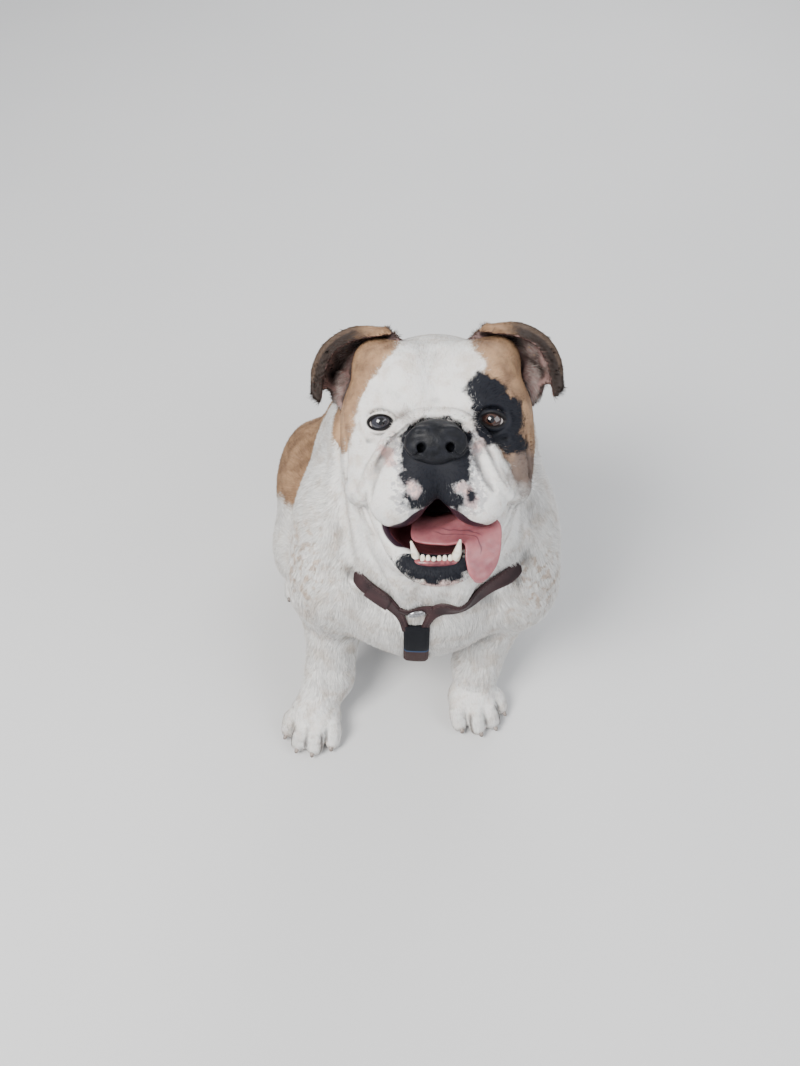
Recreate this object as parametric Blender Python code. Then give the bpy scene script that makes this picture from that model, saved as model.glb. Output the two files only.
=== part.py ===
"""An English bulldog sitting with its face turned up and its mouth open, life size, in a
leather harness.

The flesh is a set of masses, ellipsoids and tapering limbs, each with its own blend, the
way a sculptor adds clay. Each mass is added as a Blender primitive, one Remesh joins them,
and every point is then drawn onto the smooth surface where the blended distance is nought.
Thin cuts divide that body into head, neck, trunk, legs and paws.

Metres, +Z up. The dog faces -Y and its own left is +X."""

import bmesh
import bpy
import numpy as np
from math import cos, radians, sin
from mathutils import Matrix, Vector

# Driving dimensions
EYE_HEIGHT = 0.475
EYE_FRONT = -0.099
EYE_SPACING = 0.1096
EYE_RADIUS = 0.0135
EYE_DEPTH = 0.0130
LID_HALF_WIDTH = 0.0128
LID_HALF_HEIGHT = 0.0092
LID_RADIUS = 0.0026
LID_LIFT = 0.0012
HEAD_PITCH = 42.0
HEAD_YAW = 4.0
HEAD_ROLL = 4.0
RUMP_X = -0.035
RUMP_Y = 0.235
TRUNK_RADIUS = 0.112
CHEST_RADIUS = 0.126
NECK_RADIUS = 0.118
SKULL_SIZE = (0.082, 0.068, 0.088)
EAR_THICKNESS = 0.0036
TONGUE_THICKNESS = 0.0060
TONGUE_CUP = 0.003
TONGUE_CLEARANCE = 0.001
STRAP_WIDTH = 0.020
STRAP_PROUD = 0.0038
STRAP_LIFT = 0.0012
GAP = 0.0003
BODY_CELL = 0.0036
BODY_TRIANGLES = 5600
NOSE_CELL = 0.0016
NOSE_TRIANGLES = 700
FAR = 0.06
SOLE_ROUNDING = 0.0012

# Teeth, from root to tip in the head's own axes, and claws
CANINES = [
    ((-0.0205, -0.1370, 0.006), (-0.0265, -0.1150, 0.012)),
    ((0.0170, -0.1370, 0.006), (0.0225, -0.1140, 0.012)),
]
CANINE_RADIUS = 0.0042
CANINE_TIP = 0.0010
INCISORS = 6
INCISOR_RADIUS = 0.0028
INCISOR_PITCH = 0.0052
CLAW_RADIUS = 0.0036
CLAW_TIP = 0.0017
CLAW_REACH = 0.0032

# The harness: where its bands run and its two rings lie
NECK_SLOPE = 0.80
NECK_CENTRE = (-0.008, -0.06, 0.346)
GIRTH_CENTRE = (-0.012, 0.012, 0.25)
BREAST_CENTRE = (-0.0165, -0.03, 0.24)
BREAST_WIDTH = 0.024
BACK_CENTRE = (-0.010, 0.02, 0.30)
GIRTH_NORMAL = (0, 0.87, -0.49)
CHEST_RING = (-0.0165, -0.1803, 0.2609)
BACK_RING = (-0.010, 0.0978, 0.3995)
RING_RADIUS = 0.0085
RING_WIRE = 0.0017
RING_LIFT = 0.0041
RAY_START = 0.26
RAY_END = 0.02
RAY_STEPS = 241

# Where the body is cut into its parts
THROAT = np.array([0, -0.170, 0.318])
NAPE = np.array([0, 0.035, 0.470])
NECK_LENGTH = 0.062
JAW_SLANT = radians(36.9)
MOUTH_CORNER = (0, -0.077, -0.045)
ELBOW_INSIDE = {"left": 0.044, "right": -0.067}
PAW_INSIDE = {"left": 0.0, "right": -0.06}
ELBOW_HEIGHT = 0.148
WRIST_HEIGHT = 0.044
THIGH_INSIDE = 0.075
THIGH_BACK = 0.245
THIGH_TOP = 0.215
TAIL_ROOT = 0.322
PAW_BACK = -0.045
FORELEG_BACK = -0.022
FOOT_FRONT = -0.02
FOOT_BACK = 0.105
FOOT_TOP = 0.050
BEYOND = 0.3
BELOW = -0.02

COAT_WHITE = (0.80, 0.76, 0.70)
COAT_TAN = (0.42, 0.27, 0.16)
NOSE_BLACK = (0.025, 0.025, 0.028)
TONGUE_PINK = (0.62, 0.25, 0.25)
EYE_BROWN = (0.06, 0.04, 0.03)
EAR_BROWN = (0.20, 0.12, 0.08)
LEATHER_BROWN = (0.11, 0.05, 0.045)
STRAP_BLACK = (0.02, 0.02, 0.025)
STEEL_GREY = (0.6, 0.6, 0.62)
LOOKS = {
    "ear": (EAR_BROWN, 0.8),
    "eye": (EYE_BROWN, 0.1),
    "nose": (NOSE_BLACK, 0.4),
    "tongue": (TONGUE_PINK, 0.4),
}


def turned(about_x=0.0, about_y=0.0, about_z=0.0):
    """Rows are the axes of a frame turned about X, then Y, then Z, in degrees."""
    a, b, c = radians(about_x), radians(about_y), radians(about_z)
    turn_x = np.array([[1, 0, 0], [0, cos(a), -sin(a)], [0, sin(a), cos(a)]])
    turn_y = np.array([[cos(b), 0, sin(b)], [0, 1, 0], [-sin(b), 0, cos(b)]])
    turn_z = np.array([[cos(c), -sin(c), 0], [sin(c), cos(c), 0], [0, 0, 1]])
    return (turn_z @ turn_y @ turn_x).T


def head_axes():
    """Rows are the head's own axes: to its left, to its crown, and out of its face."""
    pitch, yaw, roll = radians(HEAD_PITCH), radians(HEAD_YAW), radians(HEAD_ROLL)
    ahead = np.array([-sin(yaw) * cos(pitch), -cos(yaw) * cos(pitch), sin(pitch)])
    across = np.array([cos(yaw), -sin(yaw), 0.0])
    upward = np.cross(ahead, across)
    left = cos(roll) * across + sin(roll) * upward
    crown = cos(roll) * upward - sin(roll) * across
    return np.array([left, crown, ahead])


HEAD = head_axes()
EYE_LINE = np.array([0.0, EYE_FRONT, EYE_HEIGHT])


def face(left, crown, ahead):
    """A place in the head's frame, from the middle of the line between the eyes."""
    return EYE_LINE + np.array([left, crown, ahead], float) @ HEAD


def spline(rows, per_span):
    """Rows along a smooth curve through the given rows, by the Catmull-Rom rule."""
    rows = np.asarray(rows, float)
    ends = np.vstack([2 * rows[0] - rows[1], rows, 2 * rows[-1] - rows[-2]])
    t = np.linspace(0, 1, per_span, endpoint=False)[:, None]
    spans = []
    for before, start, end, after in zip(ends, ends[1:], ends[2:], ends[3:]):
        bend = 2 * before - 5 * start + 4 * end - after
        twist = 3 * start - before - 3 * end + after
        spans.append(start + 0.5 * ((end - before) * t + bend * t**2 + twist * t**3))
    return np.vstack(spans + [rows[-1:]])


# Masses
class Ball:
    """An ellipsoid of flesh, or a hollow where sign is -1."""

    def __init__(self, centre, radii, blend, axes=None, sign=1):
        self.centre = np.array(centre, float)
        self.radii = np.array(radii, float)
        self.axes = np.eye(3) if axes is None else axes
        self.blend = blend
        self.sign = sign

    def distance(self, points):
        local = (points - self.centre) @ self.axes.T / self.radii
        scaled = np.linalg.norm(local, axis=1)
        steep = np.linalg.norm(local / self.radii, axis=1)
        return scaled * (scaled - 1) / np.maximum(steep, 1e-9)

    def near(self, points, margin):
        away = ((points - self.centre) ** 2).sum(1)
        return away < (self.radii.max() + margin) ** 2

    def pieces(self):
        return [self]

    def add_to(self, mesh):
        place = Matrix((self.axes * self.radii[:, None]).T.tolist()).to_4x4()
        place.translation = self.centre.tolist()
        bmesh.ops.create_icosphere(mesh, subdivisions=3, radius=1.0, matrix=place)


class Cone:
    """A round cone: the hull of two spheres."""

    def __init__(self, start, end, start_radius, end_radius, fineness=2):
        self.start, self.end = start, end
        self.start_radius, self.end_radius = start_radius, end_radius
        self.fineness = fineness

    def near(self, points, margin):
        middle = (self.start + self.end) / 2
        reach = np.linalg.norm(self.end - self.start) / 2
        reach += max(self.start_radius, self.end_radius) + margin
        return ((points - middle) ** 2).sum(1) < reach**2

    def distance(self, points):
        axis = self.end - self.start
        length2 = axis @ axis
        taper = self.start_radius - self.end_radius
        slant2 = length2 - taper * taper
        along = (points - self.start) @ axis
        beyond = along - length2
        off = (points - self.start) * length2 - along[:, None] * axis
        off2 = (off * off).sum(1)
        along2, beyond2 = along**2 * length2, beyond**2 * length2
        limit = np.sign(taper) * taper**2 * off2
        side = (np.sqrt(off2 * slant2 / length2) + along * taper) / length2 - self.start_radius
        end = np.sqrt(off2 + beyond2) / length2 - self.end_radius
        start = np.sqrt(off2 + along2) / length2 - self.start_radius
        is_end = np.sign(beyond) * slant2 * beyond2 > limit
        is_start = np.sign(along) * slant2 * along2 < limit
        return np.where(is_end, end, np.where(is_start, start, side))

    def add_to(self, mesh):
        hull = bmesh.new()
        for place, radius in ((self.start, self.start_radius), (self.end, self.end_radius)):
            at = Matrix.Translation(place.tolist())
            bmesh.ops.create_icosphere(hull, subdivisions=self.fineness, radius=radius, matrix=at)
        bmesh.ops.delete(hull, geom=hull.edges[:], context="EDGES_FACES")
        bmesh.ops.convex_hull(hull, input=hull.verts[:])
        inner = [v for v in hull.verts if not v.link_faces]
        bmesh.ops.delete(hull, geom=inner, context="VERTS")
        shape = bpy.data.meshes.new("cone")
        hull.to_mesh(shape)
        hull.free()
        mesh.from_mesh(shape)
        bpy.data.meshes.remove(shape)


class Limb:
    """Round cones end to end along a smooth curve."""

    def __init__(self, path, radii, blend, sign=1, per_span=1):
        path = np.array(path, float)
        radii = np.broadcast_to(np.array(radii, float), len(path))
        rows = np.column_stack([path, radii])
        if per_span > 1:
            rows = spline(rows, per_span)
        self.cones = [
            Cone(a[:3], b[:3], a[3], b[3]) for a, b in zip(rows[:-1], rows[1:])
        ]
        self.blend = blend
        self.sign = sign
        self.middle = (rows[:, :3].min(0) + rows[:, :3].max(0)) / 2
        self.reach = np.linalg.norm(rows[:, :3] - self.middle, axis=1).max() + rows[:, 3].max()

    def near(self, points, margin):
        return ((points - self.middle) ** 2).sum(1) < (self.reach + margin) ** 2

    def distance(self, points):
        nearest = np.full(len(points), FAR)
        for cone in self.cones:
            close = cone.near(points, self.blend + 0.015)
            if close.any():
                nearest[close] = np.minimum(nearest[close], cone.distance(points[close]))
        return nearest

    def pieces(self):
        return self.cones


def distance_to(masses, points, floor=True):
    """Signed distance to the blended masses, below nought inside."""
    total = np.full(len(points), FAR)
    for mass in masses:
        close = mass.near(points, max(mass.blend, 0.012) + 0.012)
        if not close.any():
            continue
        here = mass.distance(points[close]) * mass.sign
        old = total[close]
        share = np.clip(0.5 + 0.5 * mass.sign * (old - here) / mass.blend, 0, 1)
        bulge = mass.sign * mass.blend * share * (1 - share)
        total[close] = old + (here - old) * share - bulge
    return np.maximum(total, -points[:, 2]) if floor else total


def slope_of(masses, points, floor=True):
    step = 4e-4
    slope = np.empty_like(points)
    for axis in range(3):
        move = np.zeros(3)
        move[axis] = step
        ahead = distance_to(masses, points + move, floor)
        behind = distance_to(masses, points - move, floor)
        slope[:, axis] = (ahead - behind) / (2 * step)
    return slope


def settle(masses, points, rounds=4, longest=0.006, floor=True):
    """Draws points onto the surface of the blended masses, by Newton's rule."""
    for _ in range(rounds):
        slope = slope_of(masses, points, floor)
        steepness = np.maximum((slope**2).sum(1), 0.2)
        step = (distance_to(masses, points, floor) / steepness)[:, None] * slope
        length = np.linalg.norm(step, axis=1, keepdims=True)
        points = points - step * np.minimum(1, longest / np.maximum(length, 1e-9))
    return points


def face_ball(left, crown, ahead, radii, blend, sign=1, turn=(0, 0, 0)):
    axes = turned(*turn) @ HEAD
    return Ball(face(left, crown, ahead), radii, blend, axes, sign)


def face_limb(places, radii, blend, sign=1, per_span=3):
    return Limb([face(*place) for place in places], radii, blend, sign, per_span)


def mirrored(places, side):
    return [(side * left, crown, ahead) for left, crown, ahead in places]


def arch(places):
    """A row of places from the middle of the face to its left, continued to its right."""
    return mirrored(places[:0:-1], -1) + places


# The flesh
def trunk():
    spine = [
        (RUMP_X, RUMP_Y, 0.115), (-0.032, 0.15, 0.190), (-0.014, 0.03, 0.258), (-0.005, -0.05, 0.270),
    ]
    belly = [(RUMP_X, 0.20, 0.10), (-0.02, 0.08, 0.165), (-0.008, -0.05, 0.215)]
    return [
        Limb(spine, [0.100, TRUNK_RADIUS, CHEST_RADIUS, TRUNK_RADIUS], 0.02, per_span=6),
        Limb(belly, [0.085, 0.095, 0.100], 0.03, per_span=4),
        Ball((RUMP_X, RUMP_Y + 0.01, 0.075), (0.088, 0.066, 0.078), 0.03),
        Ball((-0.012, -0.108, 0.208), (0.104, 0.068, 0.080), 0.03),
        Ball((-0.010, -0.098, 0.165), (0.060, 0.050, 0.046), 0.03),
    ]


def neck():
    nape = [(-0.004, 0.010, 0.300), (0.0, -0.015, 0.350), (0.0, -0.030, 0.405)]
    return [
        Limb(nape, [0.124, NECK_RADIUS, 0.090], 0.035, per_span=4),
        Ball((0, -0.095, 0.305), (0.090, 0.062, 0.070), 0.03),
        dewlap(1),
        dewlap(-1),
    ]


def dewlap(side):
    fold = [(side * 0.046, -0.150, 0.335), (side * 0.036, -0.164, 0.302), (side * 0.028, -0.166, 0.272)]
    return Limb(fold, [0.009, 0.009, 0.006], 0.02, per_span=3)


def shoulder(side):
    return [
        Ball((-0.006 + side * 0.100, -0.060, 0.255), (0.056, 0.076, 0.090), 0.03, turned(-20)),
        Ball((-0.008 + side * 0.106, -0.100, 0.212), (0.048, 0.050, 0.062), 0.03, turned(20)),
    ]


TOES = [
    (-0.0275, 0.018, 0.0125), (-0.0093, 0.031, 0.0138),
    (0.0093, 0.031, 0.0138), (0.0275, 0.018, 0.0125),
]
FORELEG_LEFT = [(0.098, -0.072, 0.180), (0.078, -0.092, 0.120), (0.062, -0.112, 0.062)]
FORELEG_RIGHT = [(-0.116, -0.078, 0.180), (-0.118, -0.102, 0.120), (-0.124, -0.130, 0.062)]
FORE_LEFT = ((0.060, -0.140, 0.0), 24, 1.0)
FORE_RIGHT = ((-0.143, -0.168, 0.0), -16, 1.0)
HIND_LEFT = ((RUMP_X + 0.124, 0.052, 0.0), 6, 0.94)
HIND_RIGHT = ((RUMP_X - 0.124, 0.052, 0.0), -6, 0.94)


def paw_spot(place, yaw, scale, x, y, z):
    """A place in a paw's frame: across it, towards its toes, and up."""
    turn = radians(yaw)
    forward = np.array([sin(turn), -cos(turn), 0.0])
    across = np.array([cos(turn), sin(turn), 0.0])
    return np.array(place) + scale * (x * across + y * forward + np.array([0, 0, z]))


def paw(place, yaw, scale):
    """A paw from the middle of its sole; a positive yaw turns its toes to the dog's left."""
    def spot(x, y, z):
        return paw_spot(place, yaw, scale, x, y, z)

    pad = np.array((0.034, 0.032, 0.025)) * scale
    masses = [Ball(spot(0, -0.004, 0.022), pad, 0.010, turned(0, 0, yaw))]
    for x, reach, radius in TOES:
        toe = [spot(x * 0.75, 0.0, 0.026), spot(x, reach - 0.010, 0.024), spot(x * 1.06, reach, 0.0125)]
        masses.append(Limb(toe, np.array([0.95, 1.0, 0.92]) * radius * scale, 0.0035))
    return masses


def foreleg(side, elbow, middle, wrist, foot):
    place = foot[0]
    pastern = (place[0], place[1] + 0.012, 0.030)
    stopper = np.array(wrist) + np.array((side * -0.014, 0.018, -0.004))
    return [
        Limb([elbow, middle, wrist], [0.048, 0.035, 0.0300], 0.025, per_span=4),
        Limb([wrist, pastern], [0.0305, 0.0275], 0.012),
        Ball(stopper, (0.011, 0.012, 0.012), 0.008),
    ] + paw(*foot)


def haunch(side):
    hip = RUMP_X
    return [
        Ball((hip + side * 0.108, 0.125, 0.120), (0.062, 0.108, 0.098), 0.025,
             turned(12, 0, -side * 6)),
        Ball((hip + side * 0.124, 0.045, 0.105), (0.046, 0.055, 0.060), 0.03),
        Limb([(hip + side * 0.126, 0.06, 0.085), (hip + side * 0.122, 0.185, 0.036)],
             [0.036, 0.027], 0.02),
        Limb([(hip + side * 0.122, 0.190, 0.028), (hip + side * 0.124, 0.085, 0.025)],
             [0.027, 0.025], 0.015),
    ] + paw(*(HIND_LEFT if side > 0 else HIND_RIGHT))


def tail():
    path = [
        (RUMP_X, 0.285, 0.105), (RUMP_X + 0.002, 0.325, 0.078),
        (RUMP_X + 0.010, 0.350, 0.045), (RUMP_X + 0.024, 0.366, 0.020),
    ]
    return [Limb(path, [0.030, 0.021, 0.015, 0.0105], 0.015, per_span=4)]


def skull():
    masses = [face_ball(0, 0.010, -0.082, SKULL_SIZE, 0.03)]
    for side in (1, -1):
        masses += [
            face_ball(side * 0.040, 0.040, -0.038, (0.040, 0.038, 0.036), 0.02),
            face_ball(side * 0.062, -0.002, -0.047, (0.036, 0.046, 0.046), 0.02),
            face_ball(side * 0.061, -0.048, -0.052, (0.037, 0.044, 0.050), 0.02),
            face_ball(side * 0.062, 0.058, -0.062, (0.024, 0.026, 0.028), 0.015),
        ]
    return masses


LIP = [
    (0, -0.149, 0.007), (0.024, -0.143, 0.004), (0.043, -0.123, -0.008),
    (0.054, -0.098, -0.028), (0.060, -0.076, -0.056),
]
LIP_RADII = [0.0135, 0.0130, 0.0115, 0.0125, 0.0180]


def jaw():
    return [
        face_ball(0, -0.134, -0.050, (0.060, 0.032, 0.058), 0.02),
        face_limb(arch(LIP), LIP_RADII[:0:-1] + LIP_RADII, 0.012),
        face_ball(0.046, -0.100, -0.062, (0.030, 0.036, 0.036), 0.02),
        face_ball(-0.046, -0.100, -0.062, (0.030, 0.036, 0.036), 0.02),
    ]


MOUTH = face_ball(0, -0.100, -0.026, (0.050, 0.032, 0.062), 0.005, sign=-1)


def muzzle():
    masses = [face_ball(0, -0.036, -0.002, (0.054, 0.040, 0.042), 0.012)]
    masses += jaw() + [MOUTH]
    for side in (1, -1):
        masses += [
            face_ball(side * 0.037, -0.064, 0.006, (0.033, 0.040, 0.032), 0.008,
                      turn=(0, 0, side * 14)),
            face_ball(side * 0.019, -0.050, 0.020, (0.023, 0.034, 0.022), 0.008),
        ]
    masses.append(face_limb([(0, -0.046, 0.048), (0, -0.084, 0.038)], 0.0025, 0.004, -1, 2))
    masses.append(face_ball(0, -0.020, 0.027, (0.026, 0.020, 0.018), 0.006))
    return masses


NOSE_ROPE = [
    (0, 0.009, 0.019), (0.025, 0.003, 0.019), (0.044, -0.018, 0.014),
    (0.060, -0.047, 0.002), (0.072, -0.074, -0.022),
]
NOSE_ROPE_RADII = [0.0065, 0.0075, 0.0092, 0.0102, 0.0095]


def folds():
    masses = [face_limb(arch(NOSE_ROPE), NOSE_ROPE_RADII[:0:-1] + NOSE_ROPE_RADII, 0.004, per_span=4)]
    for side in (1, -1):
        brow = [(0.028, 0.010, -0.002), (0.052, 0.0215, -0.006), (0.078, 0.010, -0.024)]
        masses += [
            face_ball(side * 0.077, -0.072, -0.038, (0.017, 0.014, 0.022), 0.008),
            face_limb(mirrored(brow, side), [0.007, 0.009, 0.008], 0.012),
        ]
    furrow = [(0, 0.024, 0.006), (0, 0.050, 0.002), (0, 0.074, -0.020)]
    masses.append(face_limb(furrow, [0.004, 0.005, 0.003], 0.02, -1))
    return masses


def lids(side):
    """The hollow of an eye, and its lids as two ropes round the eyeball."""
    middle = EYE_SPACING / 2

    def rope(height):
        places = []
        for turn in (0, 45, 90, 135, 180):
            left = -LID_HALF_WIDTH * cos(radians(turn))
            crown = height * sin(radians(turn)) - 0.0008 * left / LID_HALF_WIDTH
            proud = np.sqrt(max(EYE_RADIUS**2 - left**2 - crown**2, 1e-6)) - EYE_DEPTH
            places.append((side * (middle + left), crown, proud + LID_LIFT))
        return face_limb(places, LID_RADIUS, 0.003, per_span=2)

    return [
        face_ball(side * middle, 0.0, 0.001, (0.0165, 0.0130, 0.012), 0.004, -1),
        rope(LID_HALF_HEIGHT),
        rope(-LID_HALF_HEIGHT),
    ]


def flesh():
    masses = trunk() + neck()
    for side in (1, -1):
        masses += shoulder(side) + haunch(side)
    masses += tail()
    masses += foreleg(-1, *FORELEG_RIGHT, FORE_RIGHT)
    masses += foreleg(1, *FORELEG_LEFT, FORE_LEFT)
    masses += skull() + muzzle() + folds()
    for side in (1, -1):
        masses += lids(side)
    return masses


# Meshes
def new_object(name, mesh):
    made = bpy.data.objects.new(name, mesh)
    bpy.context.scene.collection.objects.link(made)
    return made


def mesh_of(build_mesh, name):
    """A mesh filled by a function that adds to a bmesh."""
    work = bmesh.new()
    build_mesh(work)
    bmesh.ops.recalc_face_normals(work, faces=work.faces)
    mesh = bpy.data.meshes.new(name)
    work.to_mesh(mesh)
    work.free()
    return mesh


def remove(obj):
    bpy.data.objects.remove(obj)


def bake(obj):
    """Makes an object's modifiers part of its mesh."""
    graph = bpy.context.evaluated_depsgraph_get()
    mesh = bpy.data.meshes.new_from_object(obj.evaluated_get(graph))
    obj.modifiers.clear()
    obj.data = mesh


def points_of(obj):
    flat = np.empty(len(obj.data.vertices) * 3, np.float32)
    obj.data.vertices.foreach_get("co", flat)
    return flat.reshape(-1, 3).astype(float)


def move_points(obj, points):
    obj.data.vertices.foreach_set("co", points.astype(np.float32).ravel())
    obj.data.update()


def keep_largest(obj):
    """Drops every closed surface but the largest."""
    work = bmesh.new()
    work.from_mesh(obj.data)
    bmesh.ops.triangulate(work, faces=work.faces)
    seen, islands = set(), []
    for seed in work.faces:
        if seed in seen:
            continue
        island, waiting = [], [seed]
        seen.add(seed)
        while waiting:
            here = waiting.pop()
            island.append(here)
            for edge in here.edges:
                for other in edge.link_faces:
                    if other not in seen:
                        seen.add(other)
                        waiting.append(other)
        islands.append(island)

    def volume(island):
        corners = [[loop.vert.co for loop in triangle.loops] for triangle in island]
        return sum(a.dot(b.cross(c)) for a, b, c in corners) / 6

    islands.sort(key=volume, reverse=True)
    scraps = [triangle for island in islands[1:] for triangle in island]
    bmesh.ops.delete(work, geom=scraps, context="FACES")
    loose = [v for v in work.verts if not v.link_faces]
    bmesh.ops.delete(work, geom=loose, context="VERTS")
    work.to_mesh(obj.data)
    work.free()


def combine(obj, other, operation, solver="EXACT"):
    modifier = obj.modifiers.new("combine", "BOOLEAN")
    modifier.operation = operation
    modifier.object = other
    modifier.solver = solver
    bake(obj)
    keep_largest(obj)


def grown(obj, by):
    """A copy with each point moved out along its normal."""
    copy = new_object(obj.name + "_grown", obj.data.copy())
    normals = np.empty(len(copy.data.vertices) * 3, np.float32)
    copy.data.vertices.foreach_get("normal", normals)
    move_points(copy, points_of(copy) + by * normals.reshape(-1, 3))
    return copy


def solid(name, masses, cell, triangles, floor=True, hollows=()):
    """The smooth solid of blended masses, from primitives, Remesh and Decimate."""

    def add_masses(work):
        for mass in masses:
            if mass.sign > 0:
                for piece in mass.pieces():
                    piece.add_to(work)

    body = new_object(name, mesh_of(add_masses, name))
    join = body.modifiers.new("join", "REMESH")
    join.mode = "VOXEL"
    join.voxel_size = cell
    for hollow in hollows:
        bake(body)
        cutter = new_object("hollow", mesh_of(hollow.add_to, "hollow"))
        combine(body, cutter, "DIFFERENCE")
        remove(cutter)
        again = body.modifiers.new("join", "REMESH")
        again.mode = "VOXEL"
        again.voxel_size = cell
    bake(body)
    move_points(body, settle(masses, points_of(body), floor=floor))
    fewer = body.modifiers.new("fewer", "DECIMATE")
    fewer.ratio = min(1.0, triangles / (2 * len(body.data.polygons)))
    bake(body)
    keep_largest(body)
    if floor:
        points = points_of(body)
        points[points[:, 2] < SOLE_ROUNDING, 2] = 0.0
        move_points(body, points)
    return body


def box(low, high, origin=(0, 0, 0), axes=None):
    """A box between two corners, in a frame given by its origin and its axes as rows."""
    axes = np.eye(3) if axes is None else axes

    def build(work):
        made = bmesh.ops.create_cube(work, size=1.0)
        middle, size = (np.array(low) + high) / 2, np.array(high) - low
        for vert in made["verts"]:
            local = middle + size * np.array(vert.co)
            vert.co = (np.array(origin) + local @ axes).tolist()

    return new_object("box", mesh_of(build, "box"))


def split(body, name, low, high, origin=(0, 0, 0), axes=None):
    """Cuts the part of a body inside a box into an object of its own, with a gap."""
    piece = new_object(name, body.data.copy())
    inside = box(low, high, origin, axes)
    combine(piece, inside, "INTERSECT")
    low, high = np.array(low) - GAP, np.array(high) + GAP
    outside = box(low, high, origin, axes)
    combine(body, outside, "DIFFERENCE")
    remove(inside)
    remove(outside)
    return piece


def sheet(name, grid, thickness):
    """A thickened sheet through a grid of places."""
    across = grid.shape[1]
    mesh = bpy.data.meshes.new(name)
    quads = [
        (row * across + i, row * across + i + 1, (row + 1) * across + i + 1, (row + 1) * across + i)
        for row in range(grid.shape[0] - 1) for i in range(across - 1)
    ]
    mesh.from_pydata(grid.reshape(-1, 3).tolist(), [], quads)
    made = new_object(name, mesh)
    thick = made.modifiers.new("thick", "SOLIDIFY")
    thick.thickness = thickness
    thick.offset = 0.0
    bake(made)
    work = bmesh.new()
    work.from_mesh(made.data)
    bmesh.ops.recalc_face_normals(work, faces=work.faces)
    work.to_mesh(made.data)
    work.free()
    return made


# A rose ear: curves from its root to the edge of its flap, from its front to its back
EAR_CURVES = [
    [(0.036, 0.078, -0.050), (0.052, 0.066, -0.048), (0.068, 0.046, -0.050),
     (0.080, 0.026, -0.054), (0.088, 0.006, -0.060)],
    [(0.045, 0.088, -0.070), (0.066, 0.080, -0.086), (0.086, 0.058, -0.092),
     (0.096, 0.036, -0.088), (0.098, 0.014, -0.074)],
    [(0.052, 0.091, -0.062), (0.082, 0.087, -0.076), (0.104, 0.070, -0.078),
     (0.112, 0.052, -0.072), (0.108, 0.034, -0.060)],
    [(0.050, 0.092, -0.050), (0.084, 0.0935, -0.056), (0.110, 0.080, -0.056),
     (0.1235, 0.058, -0.052), (0.1255, 0.032, -0.048)],
    [(0.046, 0.088, -0.046), (0.080, 0.083, -0.042), (0.102, 0.071, -0.040),
     (0.113, 0.051, -0.040), (0.1185, 0.022, -0.043)],
]


def ear(name, side):
    along = np.array([spline(curve, 3) for curve in EAR_CURVES])
    grid = np.array([spline(row, 3) for row in along.transpose(1, 0, 2)])
    places = EYE_LINE + (grid * (side, 1, 1)) @ HEAD
    return sheet(name, places if side > 0 else places[:, ::-1], EAR_THICKNESS)


def nose_masses():
    masses = [face_ball(0, -0.018, 0.037, (0.0275, 0.0215, 0.0195), 0.004)]
    for side in (1, -1):
        nostril = [(0.0140, -0.015, 0.062), (0.0170, -0.019, 0.042)]
        slit = [(0.020, -0.019, 0.052), (0.0290, -0.025, 0.040)]
        masses += [
            face_ball(side * 0.0165, -0.021, 0.043, (0.0130, 0.0130, 0.0125), 0.004),
            face_limb(mirrored(nostril, side), 0.0056, 0.001, -1, 1),
            face_limb(mirrored(slit, side), 0.0020, 0.001, -1, 1),
        ]
    groove = [(0, -0.012, 0.0585), (0, -0.042, 0.052)]
    masses.append(face_limb(groove, 0.0013, 0.003, -1, 1))
    return masses


# The tongue: its middle line out of the mouth over the left lip, and its half width there
TONGUE_LINE = [
    (0, -0.098, -0.060), (0, -0.100, -0.036), (0, -0.109, -0.016), (0.026, -0.110, -0.010),
    (0.046, -0.110, 0.003), (0.049, -0.129, 0.011), (0.049, -0.146, 0.013), (0.048, -0.157, 0.013),
]
TONGUE_HALF = [
    (-0.022, 0, 0), (-0.026, -0.002, 0.002), (-0.024, -0.010, 0.010), (-0.017, -0.014, 0.014),
    (-0.015, -0.009, 0.013), (-0.015, -0.007, 0.010), (-0.012, -0.005, 0.007), (-0.006, -0.002, 0.003),
]


def tongue(name):
    middle, half = spline(TONGUE_LINE, 3), spline(TONGUE_HALF, 3)
    share = np.linspace(-1, 1, 7)[:, None, None]
    cupped = TONGUE_CUP * (share**2 - 0.4) * np.array([0, 1, 0])
    grid = middle + share * half + cupped
    places = EYE_LINE + grid.transpose(1, 0, 2) @ HEAD
    return sheet(name, places, TONGUE_THICKNESS)


def teeth():
    """The lower canines and the six incisors between them."""
    made = []
    for root, tip in CANINES:
        cone = Cone(face(*root), face(*tip), CANINE_RADIUS, CANINE_TIP, fineness=1)
        made.append(new_object("tooth", mesh_of(cone.add_to, "tooth")))
    for i in range(INCISORS):
        left = -0.0018 + (i - (INCISORS - 1) / 2) * INCISOR_PITCH
        root, tip = face(left, -0.1400, 0.011), face(left, -0.1310, 0.012)
        cone = Cone(root, tip, INCISOR_RADIUS, INCISOR_RADIUS * 0.9, fineness=1)
        made.append(new_object("tooth", mesh_of(cone.add_to, "tooth")))
    return made


def along(points, closed):
    """The direction of a line at each of its points."""
    if closed:
        way = np.roll(points, -1, 0) - np.roll(points, 1, 0)
    else:
        way = np.gradient(points, axis=0)
    return way / np.linalg.norm(way, axis=1, keepdims=True)


def eased(points, closed, rounds=2):
    """Points averaged with their neighbours, the ends of an open line kept."""
    for _ in range(rounds):
        if closed:
            points = (np.roll(points, 1, 0) + 2 * points + np.roll(points, -1, 0)) / 4
        else:
            eased = (points[:-2] + 2 * points[1:-1] + points[2:]) / 4
            points = np.vstack([points[:1], eased, points[-1:]])
    return points


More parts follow.
